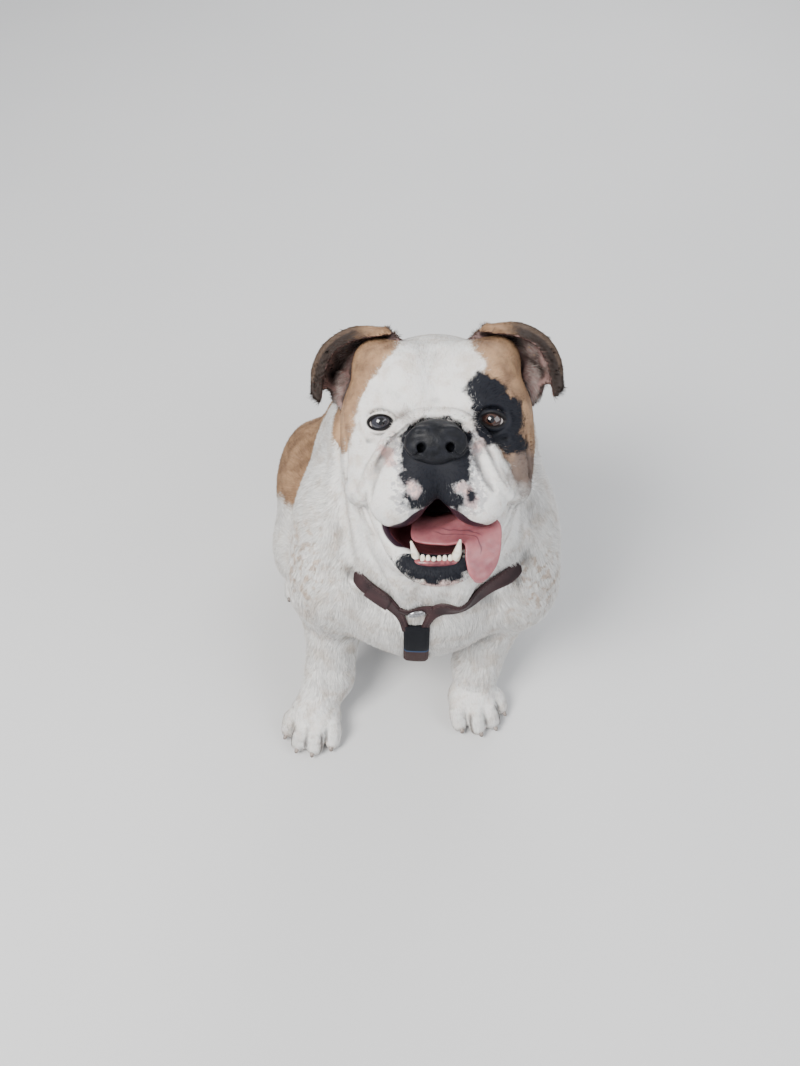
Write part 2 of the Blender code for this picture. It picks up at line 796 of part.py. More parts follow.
def band(name, masses, centre, normal, first, last, steps, width=STRAP_WIDTH):
    """A strap on the surface of the masses, round a centre in a plane, between two angles.

    The angle is nought to the dog's left, or ahead in the plane where X is constant, and a
    quarter turn up; a full turn closes the strap."""
    normal = np.array(normal, float) / np.linalg.norm(normal)
    flat = np.array([0, -1.0, 0]) if abs(normal[0]) > 0.9 else np.array([1.0, 0, 0])
    upright = np.cross(normal, flat)
    upright *= np.sign(upright[2])
    closed = last - first >= 360
    angles = np.radians(np.linspace(first, last, steps, endpoint=not closed))
    rays = np.cos(angles)[:, None] * flat + np.sin(angles)[:, None] * upright
    reach = np.linspace(RAY_START, RAY_END, RAY_STEPS)
    places = np.array(centre) + reach[None, :, None] * rays[:, None, :]
    inside = distance_to(masses, places.reshape(-1, 3)).reshape(steps, -1) < 0
    line = np.array(centre) + reach[np.argmax(inside, axis=1), None] * rays
    line = eased(line, closed)
    out = slope_of(masses, line)
    out = eased(out / np.linalg.norm(out, axis=1, keepdims=True), closed)
    aside = np.cross(along(line, closed), out)
    aside /= np.linalg.norm(aside, axis=1, keepdims=True)
    corners = []
    for edge, lift in ((-0.5, STRAP_LIFT), (-0.5, STRAP_PROUD), (0.5, STRAP_PROUD), (0.5, STRAP_LIFT)):
        on_skin = eased(settle(masses, line + edge * width * aside), closed, 1)
        corners.append(on_skin + lift * out)
    points = np.array(corners).transpose(1, 0, 2).reshape(-1, 3)
    faces = [
        (4 * i + k, 4 * i + (k + 1) % 4, 4 * j + (k + 1) % 4, 4 * j + k)
        for i, j in zip(range(steps), [*range(1, steps), 0]) if closed or j
        for k in range(4)
    ]
    if not closed:
        faces += [(0, 1, 2, 3), tuple(4 * (steps - 1) + k for k in (3, 2, 1, 0))]

    def build(work):
        verts = [work.verts.new(point) for point in points.tolist()]
        for corner_numbers in faces:
            work.faces.new([verts[i] for i in corner_numbers])

    return new_object(name, mesh_of(build, name))


def claws(place, yaw, scale):
    """The claws of a paw, one at the end of each toe."""
    made = []
    for x, reach, radius in TOES:
        root = paw_spot(place, yaw, scale, x * 1.08, reach + radius * 0.55, 0.0125)
        tip = paw_spot(place, yaw, scale, x * 1.14, reach + radius + CLAW_REACH, 0.0062)
        cone = Cone(root, tip, CLAW_RADIUS, CLAW_TIP, fineness=1)
        made.append(new_object("claw", mesh_of(cone.add_to, "claw")))
    return made


def finish(obj, colour, roughness, metallic=0.0):
    material = bpy.data.materials.new(obj.name)
    material.use_nodes = True
    shader = material.node_tree.nodes["Principled BSDF"]
    shader.inputs["Base Color"].default_value = (*colour, 1)
    shader.inputs["Roughness"].default_value = roughness
    shader.inputs["Metallic"].default_value = metallic
    obj.data.materials.clear()
    obj.data.materials.append(material)
    obj.data.shade_smooth()
    obj.data.set_sharp_from_angle(angle=radians(50))


def ring(name, near, masses):
    """A wire ring lying on the strap at the place on the masses nearest the one given."""
    place = settle(masses, np.array([near]), rounds=8)
    out = slope_of(masses, place)[0]
    out /= np.linalg.norm(out)
    bpy.ops.mesh.primitive_torus_add(
        major_radius=RING_RADIUS, minor_radius=RING_WIRE, major_segments=20, minor_segments=6,
    )
    made = bpy.context.object
    made.name = name
    turn = Vector((0, 0, 1)).rotation_difference(Vector(out)).to_matrix().to_4x4()
    turn.translation = (place[0] + RING_LIFT * out).tolist()
    made.data.transform(turn)
    return made


def eyeball(name, side, radius):
    place = face(side * EYE_SPACING / 2, 0, -EYE_DEPTH)

    def build(work):
        at = Matrix.Translation(place.tolist())
        bmesh.ops.create_uvsphere(work, u_segments=14, v_segments=8, radius=radius, matrix=at)

    return new_object(name, mesh_of(build, name))


def harness():
    """Straps round the neck and the girth, one between the forelegs, one on the back."""
    barrel = trunk() + neck() + shoulder(1) + shoulder(-1)
    front = barrel + skull() + muzzle()
    straps = {
        "neck_strap": band("neck_strap", front, NECK_CENTRE, (0, -NECK_SLOPE, 1), 0, 360, 52),
        "girth_strap": band("girth_strap", barrel, GIRTH_CENTRE, GIRTH_NORMAL, 0, 360, 44),
        "breast_strap": band(
            "breast_strap", front, BREAST_CENTRE, (1, 0, 0), -66, -3, 18, BREAST_WIDTH,
        ),
        "back_strap": band("back_strap", barrel, BACK_CENTRE, (1, 0, 0), 112, 120, 5),
    }
    return straps


def divide(body):
    """Cuts the body into its named parts, each with a thin gap to the next."""
    nodes = {}
    across = np.array([1.0, 0, 0])
    rise = (NAPE - THROAT) / np.linalg.norm(NAPE - THROAT)
    slanted = np.array([across, rise, np.cross(across, rise)])
    far_side = (BEYOND, BEYOND + 0.1, BEYOND + 0.1)
    for name, start in (("head", 0), ("neck", -NECK_LENGTH)):
        nodes[name] = split(body, name, (-BEYOND, -BEYOND, start), far_side, THROAT, slanted)

    left, crown, ahead = HEAD
    forward = cos(JAW_SLANT) * ahead - sin(JAW_SLANT) * crown
    gape = np.array([left, np.cross(forward, left), forward])
    corner = face(*MOUTH_CORNER)
    nodes["lower_jaw"] = split(
        nodes["head"], "lower_jaw", (-0.09, -0.2, 0), (0.09, 0, 0.2), corner, gape,
    )

    for side, word in ((1, "left"), (-1, "right")):
        elbow, paw_side, hip = ELBOW_INSIDE[word], PAW_INSIDE[word], RUMP_X + side * THIGH_INSIDE

        def beside(inner, low, high):
            ends = sorted((inner, side * BEYOND))
            return (ends[0], *low), (ends[1], *high)

        pieces = {
            "forepaw_": beside(paw_side, (-BEYOND, BELOW), (PAW_BACK, WRIST_HEIGHT)),
            "foreleg_": beside(elbow, (-BEYOND, BELOW), (FORELEG_BACK, ELBOW_HEIGHT)),
            "hind_foot_": beside(hip, (FOOT_FRONT, BELOW), (FOOT_BACK, FOOT_TOP)),
            "thigh_": beside(hip, (FOOT_FRONT, BELOW), (THIGH_BACK, THIGH_TOP)),
        }
        for name, (low, high) in pieces.items():
            nodes[name + word] = split(body, name + word, low, high)
    nodes["tail"] = split(body, "tail", (-BEYOND, TAIL_ROOT, BELOW), (BEYOND, 2 * BEYOND, BEYOND))
    return nodes


def set_on_floor(nodes):
    """Moves the whole so that the origin is under the middle of it, on the floor."""
    points = np.vstack([points_of(obj) for obj in nodes])
    low, high = points.min(0), points.max(0)
    middle = np.array([(low[0] + high[0]) / 2, (low[1] + high[1]) / 2, low[2]])
    for obj in nodes:
        move_points(obj, points_of(obj) - middle)


def main():
    for old in list(bpy.data.objects):
        bpy.data.objects.remove(old)
    body = solid("trunk", flesh(), BODY_CELL, BODY_TRIANGLES, hollows=[MOUTH])
    skin = grown(body, GAP)
    nodes = {}

    for side, word in ((1, "left"), (-1, "right")):
        nodes["ear_" + word] = ear("ear_" + word, side)
        combine(nodes["ear_" + word], skin, "DIFFERENCE", "MANIFOLD")
        nodes["eye_" + word] = eyeball("eye_" + word, side, EYE_RADIUS)
        socket = eyeball("socket", side, EYE_RADIUS + GAP)
        combine(body, socket, "DIFFERENCE")
        remove(socket)
    nodes["nose"] = solid("nose", nose_masses(), NOSE_CELL, NOSE_TRIANGLES, floor=False)
    combine(nodes["nose"], skin, "DIFFERENCE", "MANIFOLD")

    straps = harness()
    for strap in straps.values():
        combine(strap, skin, "DIFFERENCE", "MANIFOLD")
    remove(skin)
    rings = {
        "chest_ring": ring("chest_ring", CHEST_RING, flesh()),
        "back_ring": ring("back_ring", BACK_RING, flesh()),
    }
    for metal in rings.values():
        seat = grown(metal, GAP)
        for strap in straps.values():
            combine(strap, seat, "DIFFERENCE", "MANIFOLD")
        remove(seat)

    parts = divide(body)
    for tooth in teeth():
        combine(parts["lower_jaw"], tooth, "UNION")
        remove(tooth)
    for name, foot in (
        ("forepaw_left", FORE_LEFT), ("forepaw_right", FORE_RIGHT),
        ("hind_foot_left", HIND_LEFT), ("hind_foot_right", HIND_RIGHT),
    ):
        for claw in claws(*foot):
            combine(parts[name], claw, "UNION")
            remove(claw)
    nodes["tongue"] = tongue("tongue")
    for around in (parts["lower_jaw"], parts["head"]):
        clear = grown(around, TONGUE_CLEARANCE)
        combine(nodes["tongue"], clear, "DIFFERENCE", "MANIFOLD")
        remove(clear)

    parts["trunk"] = body
    for name, part in parts.items():
        finish(part, COAT_TAN if name == "tail" else COAT_WHITE, 0.8)
    for name, node in nodes.items():
        looks = LOOKS[name.split("_")[0]]
        finish(node, *looks)
    for name, strap in straps.items():
        finish(strap, STRAP_BLACK if name == "breast_strap" else LEATHER_BROWN, 0.6)
    for metal in rings.values():
        finish(metal, STEEL_GREY, 0.3, 1.0)
    everything = {**nodes, **parts, **straps, **rings}
    for name, obj in everything.items():
        obj.name = name
    set_on_floor(list(everything.values()))


main()
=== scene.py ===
# %% [markdown]
# An English bulldog sits and looks up with its mouth open. The fixed frame holds its solids:
# faceted flesh, ears, nose, eyes, tongue and harness, each in its true place. Here each of
# them gets its look: one smooth skin with its folds, a short coat of small tufts, a wet nose,
# eyes, tongue and teeth, and a harness of stitched leather.

# %% The frame
from math import cos, pi, radians, sin

import bmesh
import bpy
import numpy as np
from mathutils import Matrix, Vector
from mathutils.bvhtree import BVHTree


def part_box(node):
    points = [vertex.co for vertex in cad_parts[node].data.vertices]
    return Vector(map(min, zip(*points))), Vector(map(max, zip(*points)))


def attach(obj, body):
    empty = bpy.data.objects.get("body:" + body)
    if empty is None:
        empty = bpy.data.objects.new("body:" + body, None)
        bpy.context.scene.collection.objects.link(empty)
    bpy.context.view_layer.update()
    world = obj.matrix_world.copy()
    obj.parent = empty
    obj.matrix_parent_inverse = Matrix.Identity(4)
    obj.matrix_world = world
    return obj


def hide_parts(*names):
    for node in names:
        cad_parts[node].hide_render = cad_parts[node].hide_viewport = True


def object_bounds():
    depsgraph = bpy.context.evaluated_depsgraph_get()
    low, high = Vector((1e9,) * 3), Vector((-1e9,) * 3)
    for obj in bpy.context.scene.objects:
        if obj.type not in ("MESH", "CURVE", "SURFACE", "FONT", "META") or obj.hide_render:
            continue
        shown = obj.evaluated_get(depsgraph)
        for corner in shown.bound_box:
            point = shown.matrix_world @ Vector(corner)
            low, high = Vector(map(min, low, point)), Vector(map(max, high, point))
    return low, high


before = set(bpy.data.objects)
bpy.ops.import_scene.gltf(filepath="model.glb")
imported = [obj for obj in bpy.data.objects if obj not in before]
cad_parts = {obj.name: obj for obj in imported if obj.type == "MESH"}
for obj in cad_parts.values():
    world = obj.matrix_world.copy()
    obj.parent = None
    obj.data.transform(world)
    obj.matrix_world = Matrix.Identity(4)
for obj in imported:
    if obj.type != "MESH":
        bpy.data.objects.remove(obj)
cad_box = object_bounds()
print("nodes in the frame:", len(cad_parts))

# %% [markdown]
# A dog's head is easiest to shape in its own directions: to its left, to its crown and out
# of its face, from the middle of the line between the eyes. The solids were made from the
# same line, so the two eyes in the frame say where it is.

# %% The head's own directions
EYE_HEIGHT = 0.475
EYE_FRONT = -0.099
EYE_SPACING = 0.1096
EYE_RADIUS = 0.0135
EYE_DEPTH = 0.0130
HEAD_PITCH, HEAD_YAW, HEAD_ROLL = 42.0, 4.0, 4.0
RUMP_X = -0.035
RUMP_Y = 0.235


def unit(vectors):
    """Each vector divided by its length."""
    vectors = np.asarray(vectors, float)
    return vectors / np.maximum(np.linalg.norm(vectors, axis=-1, keepdims=True), 1e-9)


def turned(about_x=0.0, about_y=0.0, about_z=0.0):
    """Rows are the axes of a frame turned about X, then Y, then Z, in degrees."""
    a, b, c = radians(about_x), radians(about_y), radians(about_z)
    turn_x = np.array([[1, 0, 0], [0, cos(a), -sin(a)], [0, sin(a), cos(a)]])
    turn_y = np.array([[cos(b), 0, sin(b)], [0, 1, 0], [-sin(b), 0, cos(b)]])
    turn_z = np.array([[cos(c), -sin(c), 0], [sin(c), cos(c), 0], [0, 0, 1]])
    return (turn_z @ turn_y @ turn_x).T


def head_axes():
    """Rows are the directions to the dog's left, to its crown and out of its face."""
    pitch, yaw, roll = radians(HEAD_PITCH), radians(HEAD_YAW), radians(HEAD_ROLL)
    ahead = np.array([-sin(yaw) * cos(pitch), -cos(yaw) * cos(pitch), sin(pitch)])
    across = np.array([cos(yaw), -sin(yaw), 0.0])
    upward = np.cross(ahead, across)
    left = cos(roll) * across + sin(roll) * upward
    crown = cos(roll) * upward - sin(roll) * across
    return np.array([left, crown, ahead])


HEAD = head_axes()
EYE_LINE = np.array([0.0, EYE_FRONT, EYE_HEIGHT])


def face(left, crown, ahead):
    """A place in the head's frame, from the middle of the line between the eyes."""
    return EYE_LINE + np.array([left, crown, ahead], float) @ HEAD


def in_face(points):
    """The head's own coordinates of places: left, crown and ahead, as three columns."""
    return (points - EYE_LINE) @ HEAD.T


eye_boxes = np.array([[list(corner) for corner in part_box("eye_" + side)] for side in ("left", "right")])
SHIFT = eye_boxes.mean(axis=(0, 1)) - face(0, 0, -EYE_DEPTH)
print("the frame's origin lies", (-SHIFT).round(4), "from this script's")


def spline(rows, per_span):
    """Rows along a smooth curve through the given rows, by the Catmull-Rom rule."""
    rows = np.asarray(rows, float)
    ends = np.vstack([2 * rows[0] - rows[1], rows, 2 * rows[-1] - rows[-2]])
    t = np.linspace(0, 1, per_span, endpoint=False)[:, None]
    spans = []
    for before, start, end, after in zip(ends, ends[1:], ends[2:], ends[3:]):
        bend = 2 * before - 5 * start + 4 * end - after
        twist = 3 * start - before - 3 * end + after
        spans.append(start + 0.5 * ((end - before) * t + bend * t**2 + twist * t**3))
    return np.vstack(spans + [rows[-1:]])


def grid_faces(rows, columns, closed=False):
    """Four-sided faces between the points of a grid; closed joins its last column to its first."""
    index = np.arange(rows * columns).reshape(rows, columns)
    beside = np.roll(index, -1, axis=1)
    here, right = (index, beside) if closed else (index[:, :-1], beside[:, :-1])
    quads = np.stack([here[:-1], right[:-1], right[1:], here[1:]], -1)
    return quads.reshape(-1, 4)


# %% [markdown]
# Flesh has no flat sides and no edges, so it isn't built of panels. It is a sum of masses:
# ellipsoids for skull and haunches, tapering limbs for legs and folds. Each has a distance
# that is below nought inside it. Where two meet, a quadratic blend rounds the valley between
# them, as skin does. The surface is where the blended distance is nought.

# %% Masses and their blend
FAR = 0.06


class Ball:
    """An ellipsoid, or a hollow where sign is -1."""

    def __init__(self, centre, radii, blend, axes=None, sign=1):
        self.centre = np.array(centre, float)
        self.radii = np.array(radii, float)
        self.axes = np.eye(3) if axes is None else axes
        self.blend, self.sign = blend, sign

    def near(self, points, margin):
        return ((points - self.centre) ** 2).sum(1) < (self.radii.max() + margin) ** 2

    def distance(self, points):
        local = (points - self.centre) @ self.axes.T / self.radii
        scaled = np.linalg.norm(local, axis=1)
        steep = np.linalg.norm(local / self.radii, axis=1)
        return scaled * (scaled - 1) / np.maximum(steep, 1e-9)


def cone_distance(points, start, end, start_radius, end_radius):
    """Distance to the hull of two spheres, a round cone."""
    axis = end - start
    length2 = axis @ axis
    taper = start_radius - end_radius
    slant2 = length2 - taper * taper
    along = (points - start) @ axis
    beyond = along - length2
    off = (points - start) * length2 - along[:, None] * axis
    off2 = (off * off).sum(1)
    along2, beyond2 = along**2 * length2, beyond**2 * length2
    limit = np.sign(taper) * taper**2 * off2
    side = (np.sqrt(off2 * slant2 / length2) + along * taper) / length2 - start_radius
    at_end = np.sqrt(off2 + beyond2) / length2 - end_radius
    at_start = np.sqrt(off2 + along2) / length2 - start_radius
    is_end = np.sign(beyond) * slant2 * beyond2 > limit
    is_start = np.sign(along) * slant2 * along2 < limit
    return np.where(is_end, at_end, np.where(is_start, at_start, side))


class Limb:
    """Round cones end to end along a smooth curve."""

    def __init__(self, path, radii, blend, sign=1, per_span=1):
        path = np.array(path, float)
        rows = np.column_stack([path, np.broadcast_to(np.array(radii, float), len(path))])
        self.rows = spline(rows, per_span) if per_span > 1 else rows
        self.blend, self.sign = blend, sign
        places = self.rows[:, :3]
        self.middle = (places.min(0) + places.max(0)) / 2
        self.reach = np.linalg.norm(places - self.middle, axis=1).max() + self.rows[:, 3].max()

    def near(self, points, margin):
        return ((points - self.middle) ** 2).sum(1) < (self.reach + margin) ** 2

    def distance(self, points):
        nearest = np.full(len(points), FAR)
        for start, end in zip(self.rows[:-1], self.rows[1:]):
            middle = (start[:3] + end[:3]) / 2
            reach = np.linalg.norm(end[:3] - start[:3]) / 2 + max(start[3], end[3]) + self.blend + 0.015
            close = ((points - middle) ** 2).sum(1) < reach**2
            if close.any():
                found = cone_distance(points[close], start[:3], end[:3], start[3], end[3])
                nearest[close] = np.minimum(nearest[close], found)
        return nearest


class Leather:
    """A thin curved sheet of flesh: the distance to a grid of places, less half its thickness."""

    def __init__(self, grid, half, blend):
        self.half, self.blend, self.sign = half, blend, 1
        places = grid.reshape(-1, 3)
        self.middle = (places.min(0) + places.max(0)) / 2
        self.reach = np.linalg.norm(places - self.middle, axis=1).max() + half
        quads = grid_faces(*grid.shape[:2])
        self.tree = BVHTree.FromPolygons(places.tolist(), quads.tolist())
        self.rim = np.vstack([grid[-1], grid[:, -1], grid[:, 0]])

    def near(self, points, margin):
        return ((points - self.middle) ** 2).sum(1) < (self.reach + margin) ** 2

    def distance(self, points):
        nearest = self.tree.find_nearest
        return np.array([nearest(point)[3] for point in points.tolist()]) - self.half

    def side_of(self, points):
        """1 where a point lies on the sheet's front, the cup of the ear, and -1 behind it."""
        nearest = self.tree.find_nearest
        found = [nearest(point)[:2] for point in points.tolist()]
        feet = np.array([foot for foot, normal in found])
        normals = np.array([normal for foot, normal in found])
        return np.sign(((points - feet) * normals).sum(1))


def distance_to(masses, points):
    """Signed distance to the blended masses, below nought inside."""
    total = np.full(len(points), FAR)
    for mass in masses:
        close = mass.near(points, max(mass.blend, 0.012) + 0.012)
        if not close.any():
            continue
        here = mass.distance(points[close]) * mass.sign
        old = total[close]
        share = np.clip(0.5 + 0.5 * mass.sign * (old - here) / mass.blend, 0, 1)
        total[close] = old + (here - old) * share - mass.sign * mass.blend * share * (1 - share)
    return total


def slope_of(field, points, here, step=3e-4):
    """The slope of a distance at each point, from its change over a small step."""
    return np.stack([(field(points + step * way) - here) / step for way in np.eye(3)], 1)


def settle(field, points, rounds=2, longest=0.006):
    """Draws points onto the surface where the distance is nought, by Newton's rule."""
    for _ in range(rounds):
        here = field(points)
        slope = slope_of(field, points, here)
        step = (here / np.maximum((slope**2).sum(1), 0.2))[:, None] * slope
        length = np.linalg.norm(step, axis=1, keepdims=True)
        points = points - step * np.minimum(1, longest / np.maximum(length, 1e-9))
    return points


def face_ball(left, crown, ahead, radii, blend, sign=1, turn=(0, 0, 0)):
    return Ball(face(left, crown, ahead), radii, blend, turned(*turn) @ HEAD, sign)


def face_limb(places, radii, blend, sign=1, per_span=4):
    return Limb([face(*place) for place in places], radii, blend, sign, per_span)


def mirrored(places, side):
    return [(side * left, crown, ahead) for left, crown, ahead in places]


def arch(places):
    """A row of places from the middle of the face to its left, continued to its right."""
    return mirrored(places[:0:-1], -1) + places


# %% [markdown]
# The body of a bulldog: a barrel chest slung low between wide shoulders, a short neck as
# thick as the head, round thighs folded under it, and a short low tail. The numbers are the
# solids' own, so that the skin lies just inside them.

# %% Body, legs and tail
TRUNK_RADIUS = 0.112
CHEST_RADIUS = 0.126
NECK_RADIUS = 0.118


def trunk():
    spine = [
        (RUMP_X, RUMP_Y, 0.115), (-0.032, 0.15, 0.190), (-0.014, 0.03, 0.258), (-0.005, -0.05, 0.270),
    ]
    belly = [(RUMP_X, 0.20, 0.10), (-0.02, 0.08, 0.165), (-0.008, -0.05, 0.215)]
    return [
        Limb(spine, [0.100, TRUNK_RADIUS, CHEST_RADIUS, TRUNK_RADIUS], 0.02, per_span=6),
        Limb(belly, [0.085, 0.095, 0.100], 0.03, per_span=4),
        Ball((RUMP_X, RUMP_Y + 0.01, 0.075), (0.088, 0.066, 0.078), 0.03),
        Ball((-0.012, -0.108, 0.208), (0.104, 0.068, 0.080), 0.03),
        Ball((-0.010, -0.098, 0.165), (0.060, 0.050, 0.046), 0.03),
    ]


def dewlap(side):
    fold = [
        (side * 0.046, -0.150, 0.335), (side * 0.036, -0.164, 0.302), (side * 0.028, -0.166, 0.272),
    ]
    return Limb(fold, [0.009, 0.009, 0.006], 0.02, per_span=4)


def neck():
    nape = [(-0.004, 0.010, 0.300), (0.0, -0.015, 0.350), (0.0, -0.030, 0.405)]
    return [
        Limb(nape, [0.124, NECK_RADIUS, 0.090], 0.035, per_span=4),
        Ball((0, -0.095, 0.305), (0.090, 0.062, 0.070), 0.03),
        dewlap(1),
        dewlap(-1),
    ]


def shoulder(side):
    return [
        Ball((-0.006 + side * 0.100, -0.060, 0.255), (0.056, 0.076, 0.090), 0.03, turned(-20)),
        Ball((-0.008 + side * 0.106, -0.100, 0.212), (0.048, 0.050, 0.062), 0.03, turned(20)),
    ]


TOES = [
    (-0.0275, 0.018, 0.0125), (-0.0093, 0.031, 0.0138), (0.0093, 0.031, 0.0138), (0.0275, 0.018, 0.0125),
]
FEET = {
    "fore_left": ((0.060, -0.140, 0.0), 24, 1.0),
    "fore_right": ((-0.143, -0.168, 0.0), -16, 1.0),
    "hind_left": ((RUMP_X + 0.124, 0.052, 0.0), 6, 0.94),
    "hind_right": ((RUMP_X - 0.124, 0.052, 0.0), -6, 0.94),
}


def paw_spot(place, yaw, scale, x, y, z):
    """A place in a paw's frame: across it, towards its toes, and up."""
    turn = radians(yaw)
    forward = np.array([sin(turn), -cos(turn), 0.0])
    across = np.array([cos(turn), sin(turn), 0.0])
    return np.array(place) + scale * (x * across + y * forward + np.array([0, 0, z]))


def paw(place, yaw, scale):
    def spot(x, y, z):
        return paw_spot(place, yaw, scale, x, y, z)
    masses = [
        Ball(spot(0, -0.004, 0.022), np.array((0.034, 0.032, 0.025)) * scale, 0.010, turned(0, 0, yaw))
    ]
    for x, reach, radius in TOES:
        toe = [spot(x * 0.75, 0.0, 0.026), spot(x, reach - 0.010, 0.024), spot(x * 1.06, reach, 0.0125)]
        masses.append(Limb(toe, np.array([0.95, 1.0, 0.92]) * radius * scale, 0.0035, per_span=3))
    return masses


def foreleg(side, elbow, middle, wrist, foot):
    place = foot[0]
    pastern = (place[0], place[1] + 0.012, 0.030)
    stopper = np.array(wrist) + np.array((side * -0.014, 0.018, -0.004))
    return [
        Limb([elbow, middle, wrist], [0.048, 0.035, 0.0300], 0.025, per_span=4),
        Limb([wrist, pastern], [0.0305, 0.0275], 0.012),
        Ball(stopper, (0.011, 0.012, 0.012), 0.008),
    ] + paw(*foot)


def haunch(side, foot):
    hip = RUMP_X
    return [
        Ball((hip + side * 0.108, 0.125, 0.120), (0.062, 0.108, 0.098), 0.025, turned(12, 0, -side * 6)),
        Ball((hip + side * 0.124, 0.045, 0.105), (0.046, 0.055, 0.060), 0.03),
        Limb([(hip + side * 0.126, 0.06, 0.085), (hip + side * 0.122, 0.185, 0.036)], [0.036, 0.027], 0.02),
        Limb([(hip + side * 0.122, 0.190, 0.028), (hip + side * 0.124, 0.085, 0.025)], [0.027, 0.025], 0.015),
    ] + paw(*foot)


def tail():
    path = [
        (RUMP_X, 0.285, 0.105), (RUMP_X + 0.002, 0.325, 0.078),
        (RUMP_X + 0.010, 0.350, 0.045), (RUMP_X + 0.024, 0.366, 0.020),
    ]
    return [Limb(path, [0.030, 0.021, 0.015, 0.0105], 0.015, per_span=4)]


# %% [markdown]
# The face is the breed: a broad skull, a short muzzle set back between thick hanging flews,
# a lower jaw that juts out below them, and a rope of skin that runs over the nose and down
# each side to the cheeks. The lids are ropes round the eyeball, and the mouth is a hollow.

# %% Skull, muzzle, folds and lids
SKULL_SIZE = (0.082, 0.068, 0.088)
LIP = [
    (0, -0.149, 0.007), (0.024, -0.143, 0.004), (0.043, -0.123, -0.008),
    (0.054, -0.098, -0.028), (0.060, -0.076, -0.056),
]
LIP_RADII = [0.0135, 0.0130, 0.0115, 0.0125, 0.0180]
NOSE_ROPE = [
    (0, 0.009, 0.019), (0.025, 0.003, 0.019), (0.044, -0.018, 0.014),
    (0.060, -0.047, 0.002), (0.072, -0.074, -0.022),
]
NOSE_ROPE_RADII = [0.0065, 0.0075, 0.0092, 0.0102, 0.0095]
LID_HALF_WIDTH = 0.0128
LID_HALF_HEIGHT = 0.0083
LID_RADIUS = 0.0026
LID_LIFT = 0.0012


def skull():
    masses = [face_ball(0, 0.010, -0.082, SKULL_SIZE, 0.03)]
    for side in (1, -1):
        masses += [
            face_ball(side * 0.040, 0.040, -0.038, (0.040, 0.038, 0.036), 0.02),
            face_ball(side * 0.062, -0.002, -0.047, (0.036, 0.046, 0.046), 0.02),
            face_ball(side * 0.061, -0.048, -0.052, (0.037, 0.044, 0.050), 0.02),
            face_ball(side * 0.062, 0.058, -0.062, (0.024, 0.026, 0.028), 0.015),
        ]
    return masses


MOUTH = face_ball(0, -0.100, -0.026, (0.050, 0.032, 0.062), 0.005, sign=-1)


def jaw():
    return [
        face_ball(0, -0.134, -0.050, (0.060, 0.032, 0.058), 0.02),
        face_limb(arch(LIP), LIP_RADII[:0:-1] + LIP_RADII, 0.012),
        face_ball(0.046, -0.100, -0.062, (0.030, 0.036, 0.036), 0.02),
        face_ball(-0.046, -0.100, -0.062, (0.030, 0.036, 0.036), 0.02),
    ]


def muzzle():
    masses = [face_ball(0, -0.036, -0.002, (0.054, 0.040, 0.042), 0.012)]
    masses += jaw() + [MOUTH]
    for side in (1, -1):
        masses += [
            face_ball(side * 0.037, -0.064, 0.006, (0.033, 0.040, 0.032), 0.008, turn=(0, 0, side * 14)),
            face_ball(side * 0.019, -0.050, 0.020, (0.023, 0.034, 0.022), 0.008),
        ]
    masses.append(face_limb([(0, -0.046, 0.048), (0, -0.084, 0.038)], 0.0025, 0.004, -1, 2))
    masses.append(face_ball(0, -0.020, 0.027, (0.026, 0.020, 0.018), 0.006))
    return masses


def folds():
    """The nose rope and the folds that the solids leave out: small creases round it."""
    masses = [face_limb(arch(NOSE_ROPE), NOSE_ROPE_RADII[:0:-1] + NOSE_ROPE_RADII, 0.004, per_span=6)]
    for side in (1, -1):
        brow = [(0.028, 0.010, -0.002), (0.052, 0.0215, -0.006), (0.078, 0.010, -0.024)]
        masses += [
            face_ball(side * 0.077, -0.072, -0.038, (0.017, 0.014, 0.022), 0.008),
            face_limb(mirrored(brow, side), [0.007, 0.009, 0.008], 0.012),
        ]
    furrow = [(0, 0.024, 0.006), (0, 0.050, 0.002), (0, 0.074, -0.020)]
    masses.append(face_limb(furrow, [0.004, 0.005, 0.003], 0.02, -1))
    return masses


def lid_line(side, height):
    """Places along the edge of a lid: half an ellipse laid on the eyeball."""
    places = []
    for turn in np.linspace(0, 180, 7):
        left = -LID_HALF_WIDTH * cos(radians(turn))
        crown = height * sin(radians(turn)) ** 1.3 - 0.0012 * left / LID_HALF_WIDTH
        proud = np.sqrt(max(EYE_RADIUS**2 - left**2 - crown**2, 1e-6)) - EYE_DEPTH
        places.append((side * (EYE_SPACING / 2 + left), crown, proud + LID_LIFT))
    return places


def lids(side):
    middle = EYE_SPACING / 2
    return [
        face_ball(side * middle, 0.0, 0.001, (0.0165, 0.0130, 0.012), 0.004, -1),
        face_limb(lid_line(side, LID_HALF_HEIGHT), LID_RADIUS, 0.003, per_span=2),
        face_limb(lid_line(side, -LID_HALF_HEIGHT), LID_RADIUS, 0.003, per_span=2),
    ]


# %% [markdown]
# A rose ear folds back and over, so that its cup shows. Five curves run from the front of
# its root to the back of it, and splines across them give the sheet of leather. The sheet is
# one more mass, so that the skin of the skull flows up into it.

